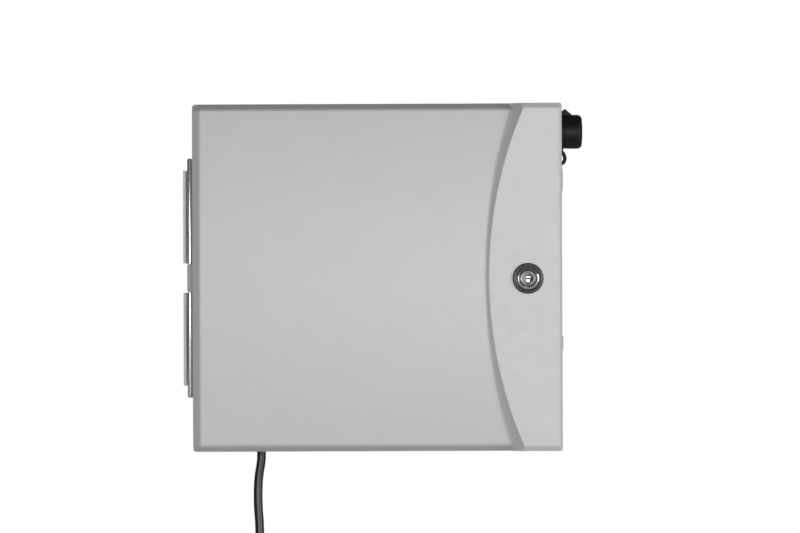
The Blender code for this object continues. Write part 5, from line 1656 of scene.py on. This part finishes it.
terminal_green = surface("terminal_green", (0.03, 0.21, 0.085), 0.42, 1500, 0.00003, 0.08)
dress("terminal_strip", terminal_green, 0.0003)
strip_low, strip_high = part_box("terminal_strip")
ways = Workpiece("terminal_screws", terminal_green, tinned, white_print, chip_black)
TERMINALS = 12
pitch = (strip_high.x - strip_low.x) / TERMINALS
for number in range(TERMINALS):
    x = strip_low.x + pitch * (number + 0.5)
    z = 0.0135
    ways.turn(
        [(0.0034, -0.0001), (0.0034, 0.0011), (0.0038, 0.0014), (0.0044, 0.0012), (0.0045, -0.0001)],
        (x, strip_low.y, z), "front", 0, 28, closed=True
    )
    ways.turn(
        [(0, -0.0001), (0.0034, -0.0001), (0.0034, 0.0001), (0, 0.0001)], (x, strip_low.y, z), "front",
        3, 24
    )
    ways.screw_head((x, strip_low.y - 0.0001, z), "front", 0.003, 0.0011, 2, 1)
    digits = printed_text(str(number + 1), x, 0.005, 0.0052, strip_low.y)
    for loop_face in digits.polygons:
        loop_face.material_index = 2
    ways.shape.from_mesh(digits)
    if number:
        ways.plate(
            [(0, -0.0001), (0, 0.0006), (0.0002, 0.0008)],
            (strip_low.x + pitch * number, strip_low.y, 0.01), (0.0008, 0.019), 0.0003, "front", steps=2
        )
    for side in (-1, 1):
        ways.block(
            (x + side * 0.0034 - 0.0005, -0.0172, 0.0004),
            (x + side * 0.0034 + 0.0005, -0.0118, 0.0075), 0.0002, "up", 1
        )
ways.fix("cabinet", "terminal")

# Transformer ---------------------------------------------------------------------------
# An open-frame mains transformer: a stack of varnished steel laminations, a taped bobbin
# wound in copper, and a plated bracket round the stack with feet to the wall.

lamination = surface(
    "lamination", (0.23, 0.225, 0.21), 0.42, 900, 0.00002, 0.25, metal=0.85, scuff=0.25,
    scuff_colour=(0.3, 0.17, 0.09)
)
bobbin_tape = surface("bobbin_tape", (0.62, 0.4, 0.09), 0.36, 800, 0.00003, 0.12)
enamel_copper = surface("enamel_copper", (0.58, 0.24, 0.09), 0.28, 2000, 0.00003, 0.12, metal=0.9)
bobbin_nylon = surface("bobbin_nylon", (0.55, 0.55, 0.5), 0.45, 1300, 0.00003, 0.08)
dress("transformer_bracket", zinc_steel, 0.0003)
core_low, core_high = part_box("transformer_core")
wide, tall = core_high.x - core_low.x, core_high.z - core_low.z
window = wide / 6
yoke = (tall - wide / 2) / 2
core = Workpiece("transformer_stack", lamination)
sheets = 28
thick = (core_high.y - core_low.y) / sheets
for sheet_number in range(sheets):
    back = core_high.y - sheet_number * thick
    ease = 0.0001 if sheet_number % 2 else 0.0
    for x0, x1, z0, z1 in (
        (core_low.x, core_high.x, core_low.z, core_low.z + yoke),
        (core_low.x, core_high.x, core_high.z - yoke, core_high.z),
        (core_low.x, core_low.x + window, core_low.z + yoke, core_high.z - yoke),
        (core_high.x - window, core_high.x, core_low.z + yoke, core_high.z - yoke),
    ):
        rings = []
        for deep in (0.00003, thick - 0.00003):
            rings.append(
                [
                    Vector((x, back - deep, z)) for x,
                    z in (
                        (x0 + ease, z0 + ease), (x1 - ease, z0 + ease), (x1 - ease, z1 - ease),
                        (x0 + ease, z1 - ease)
                    )
                ]
            )
        core.skin(rings)
core.fix("cabinet", "steel", "transformer_core")
coil_low, coil_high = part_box("transformer_coil")
middle = (coil_low + coil_high) / 2
coil = Workpiece("transformer_winding", bobbin_tape, enamel_copper, bobbin_nylon)
size = coil_high - coil_low
stack = [
    (0.0003, 0.0012), (0, 0.0016), (0.0002, size.z * 0.34), (0.0006, size.z * 0.35),
    (0.0006, size.z * 0.37), (0.0002, size.z * 0.38), (0.0001, size.z * 0.64), (0.0005, size.z * 0.65),
    (0.0005, size.z * 0.67), (0.0001, size.z * 0.68), (0, size.z - 0.0016), (0.0003, size.z - 0.0012)
]
coil.plate(
    stack, (middle.x, middle.y, coil_low.z), (size.x - 0.0012, size.y - 0.0012), 0.005, "up", 0, steps=7
)
for start in (0.0, size.z - 0.0012):
    coil.plate(
        [(0, start), (0, start + 0.0012)], (middle.x, middle.y, coil_low.z), (size.x, size.y), 0.003,
        "up", 2
    )
for turn_number in range(9):
    up = coil_low.z + 0.0022 + turn_number * 0.001
    ring = []
    half_x, half_y, corner = size.x / 2 - 0.0004, size.y / 2 - 0.0004, 0.0046
    for quarter, (sx, sy) in enumerate(((1, 1), (-1, 1), (-1, -1), (1, -1))):
        for step in range(6):
            angle = math.pi / 2 * (quarter + step / 5)
            ring.append(
                Vector(
                    (
                        middle.x + sx * (half_x - corner) + corner * math.cos(angle),
                        middle.y + sy * (half_y - corner) + corner * math.sin(angle), up
                    )
                )
            )
    ring.append(ring[0])
    coil.rod(ring, 0.0004, 1, 6)
coil.fix("cabinet", "copper", "transformer_coil")

# Mains corner --------------------------------------------------------------------------
# The supply is joined in a closed grey box in the lower left corner, under a ribbed cover
# held by two cross-head screws.

dress("junction_box", inner_plastic, 0.0005)
dress("junction_cover", inner_plastic, 0.0006)
dress("mains_terminal", bobbin_nylon, 0.0004)
dress("ground_lug", brass, 0.0004)
cover_low, cover_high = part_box("junction_cover")
cover_at = ((cover_low.x + cover_high.x) / 2, cover_low.y, (cover_low.z + cover_high.z) / 2)
detail = Workpiece("cover_ribs", inner_plastic, blue_print)
for step in range(7):
    detail.plate(
        [(0, -0.0001), (0, 0.0006), (0.0003, 0.0009)],
        (cover_at[0], cover_at[1], cover_at[2] - 0.024 + step * 0.008), (0.056, 0.0022), 0.001, "front",
        steps=4
    )
outline = [(-0.006, -0.0001), (-0.006, 0.0006), (-0.0054, 0.0009), (-0.0046, 0.0006), (-0.0046, -0.0001)]
detail.plate(outline, cover_at, (0.064, 0.058), 0.003, "front", closed=True)
detail.fix("cabinet", "inner")
for name in ("cover_screw_upper", "cover_screw_lower"):
    low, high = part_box(name)
    screw = Workpiece(name + "_head", zinc_steel)
    at = Vector(((low.x + high.x) / 2, low.y + 0.0016, (low.z + high.z) / 2))
    screw.screw_head(at, "front", 0.0036, 0.0016, 4)
    screw.turn(
        [(0, 0), (0.0017, 0), (0.0017, 0.01), (0.0008, 0.0112), (0, 0.0112)],
        at - Vector((0, 0.0002, 0)), "back", 0, 24
    )
    screw.fix("cabinet", "steel", name)

# Inside wiring -------------------------------------------------------------------------
# Stranded hook-up wire. Black and white run from the mains corner up to the transformer,
# and red and yellow from the transformer to the backplane, clear of the swinging panel.

WIRE_RADIUS = 0.0011
for colour_name, colour, line in (
    (
        "black", (0.012, 0.012, 0.013),
        [
            (-0.129, -0.03, -0.056), (-0.129, -0.03, -0.03), (-0.127, -0.029, 0.0),
            (-0.124, -0.035, 0.024), (-0.121, -0.042, 0.033), (-0.12, -0.044, 0.0385)
        ]
    ),
    (
        "white", (0.62, 0.62, 0.6),
        [
            (-0.125, -0.03, -0.056), (-0.125, -0.03, -0.03), (-0.1225, -0.029, 0.0),
            (-0.119, -0.035, 0.024), (-0.1155, -0.042, 0.033), (-0.1145, -0.044, 0.0385)
        ]
    ),
    (
        "red", (0.5, 0.02, 0.02),
        [
            (-0.101, -0.044, 0.07), (-0.1, -0.048, 0.078), (-0.09, -0.046, 0.09),
            (-0.072, -0.03, 0.093), (-0.056, -0.014, 0.086), (-0.047, -0.007, 0.076),
            (-0.043, -0.01, 0.07)
        ]
    ),
    (
        "yellow", (0.62, 0.42, 0.03),
        [
            (-0.096, -0.044, 0.07), (-0.095, -0.048, 0.076), (-0.086, -0.046, 0.085),
            (-0.07, -0.03, 0.088), (-0.055, -0.014, 0.08), (-0.047, -0.007, 0.07),
            (-0.043, -0.01, 0.064)
        ]
    ),
):
    wire = Workpiece(
        "hookup_wire_" + colour_name, surface("wire_" + colour_name, colour, 0.36, 900, 0.00002, 0.06)
    )
    wire.rod(smooth_line(line, 7), WIRE_RADIUS, 0, 12)
    wire.fix("cabinet", "inner", sharp=80)
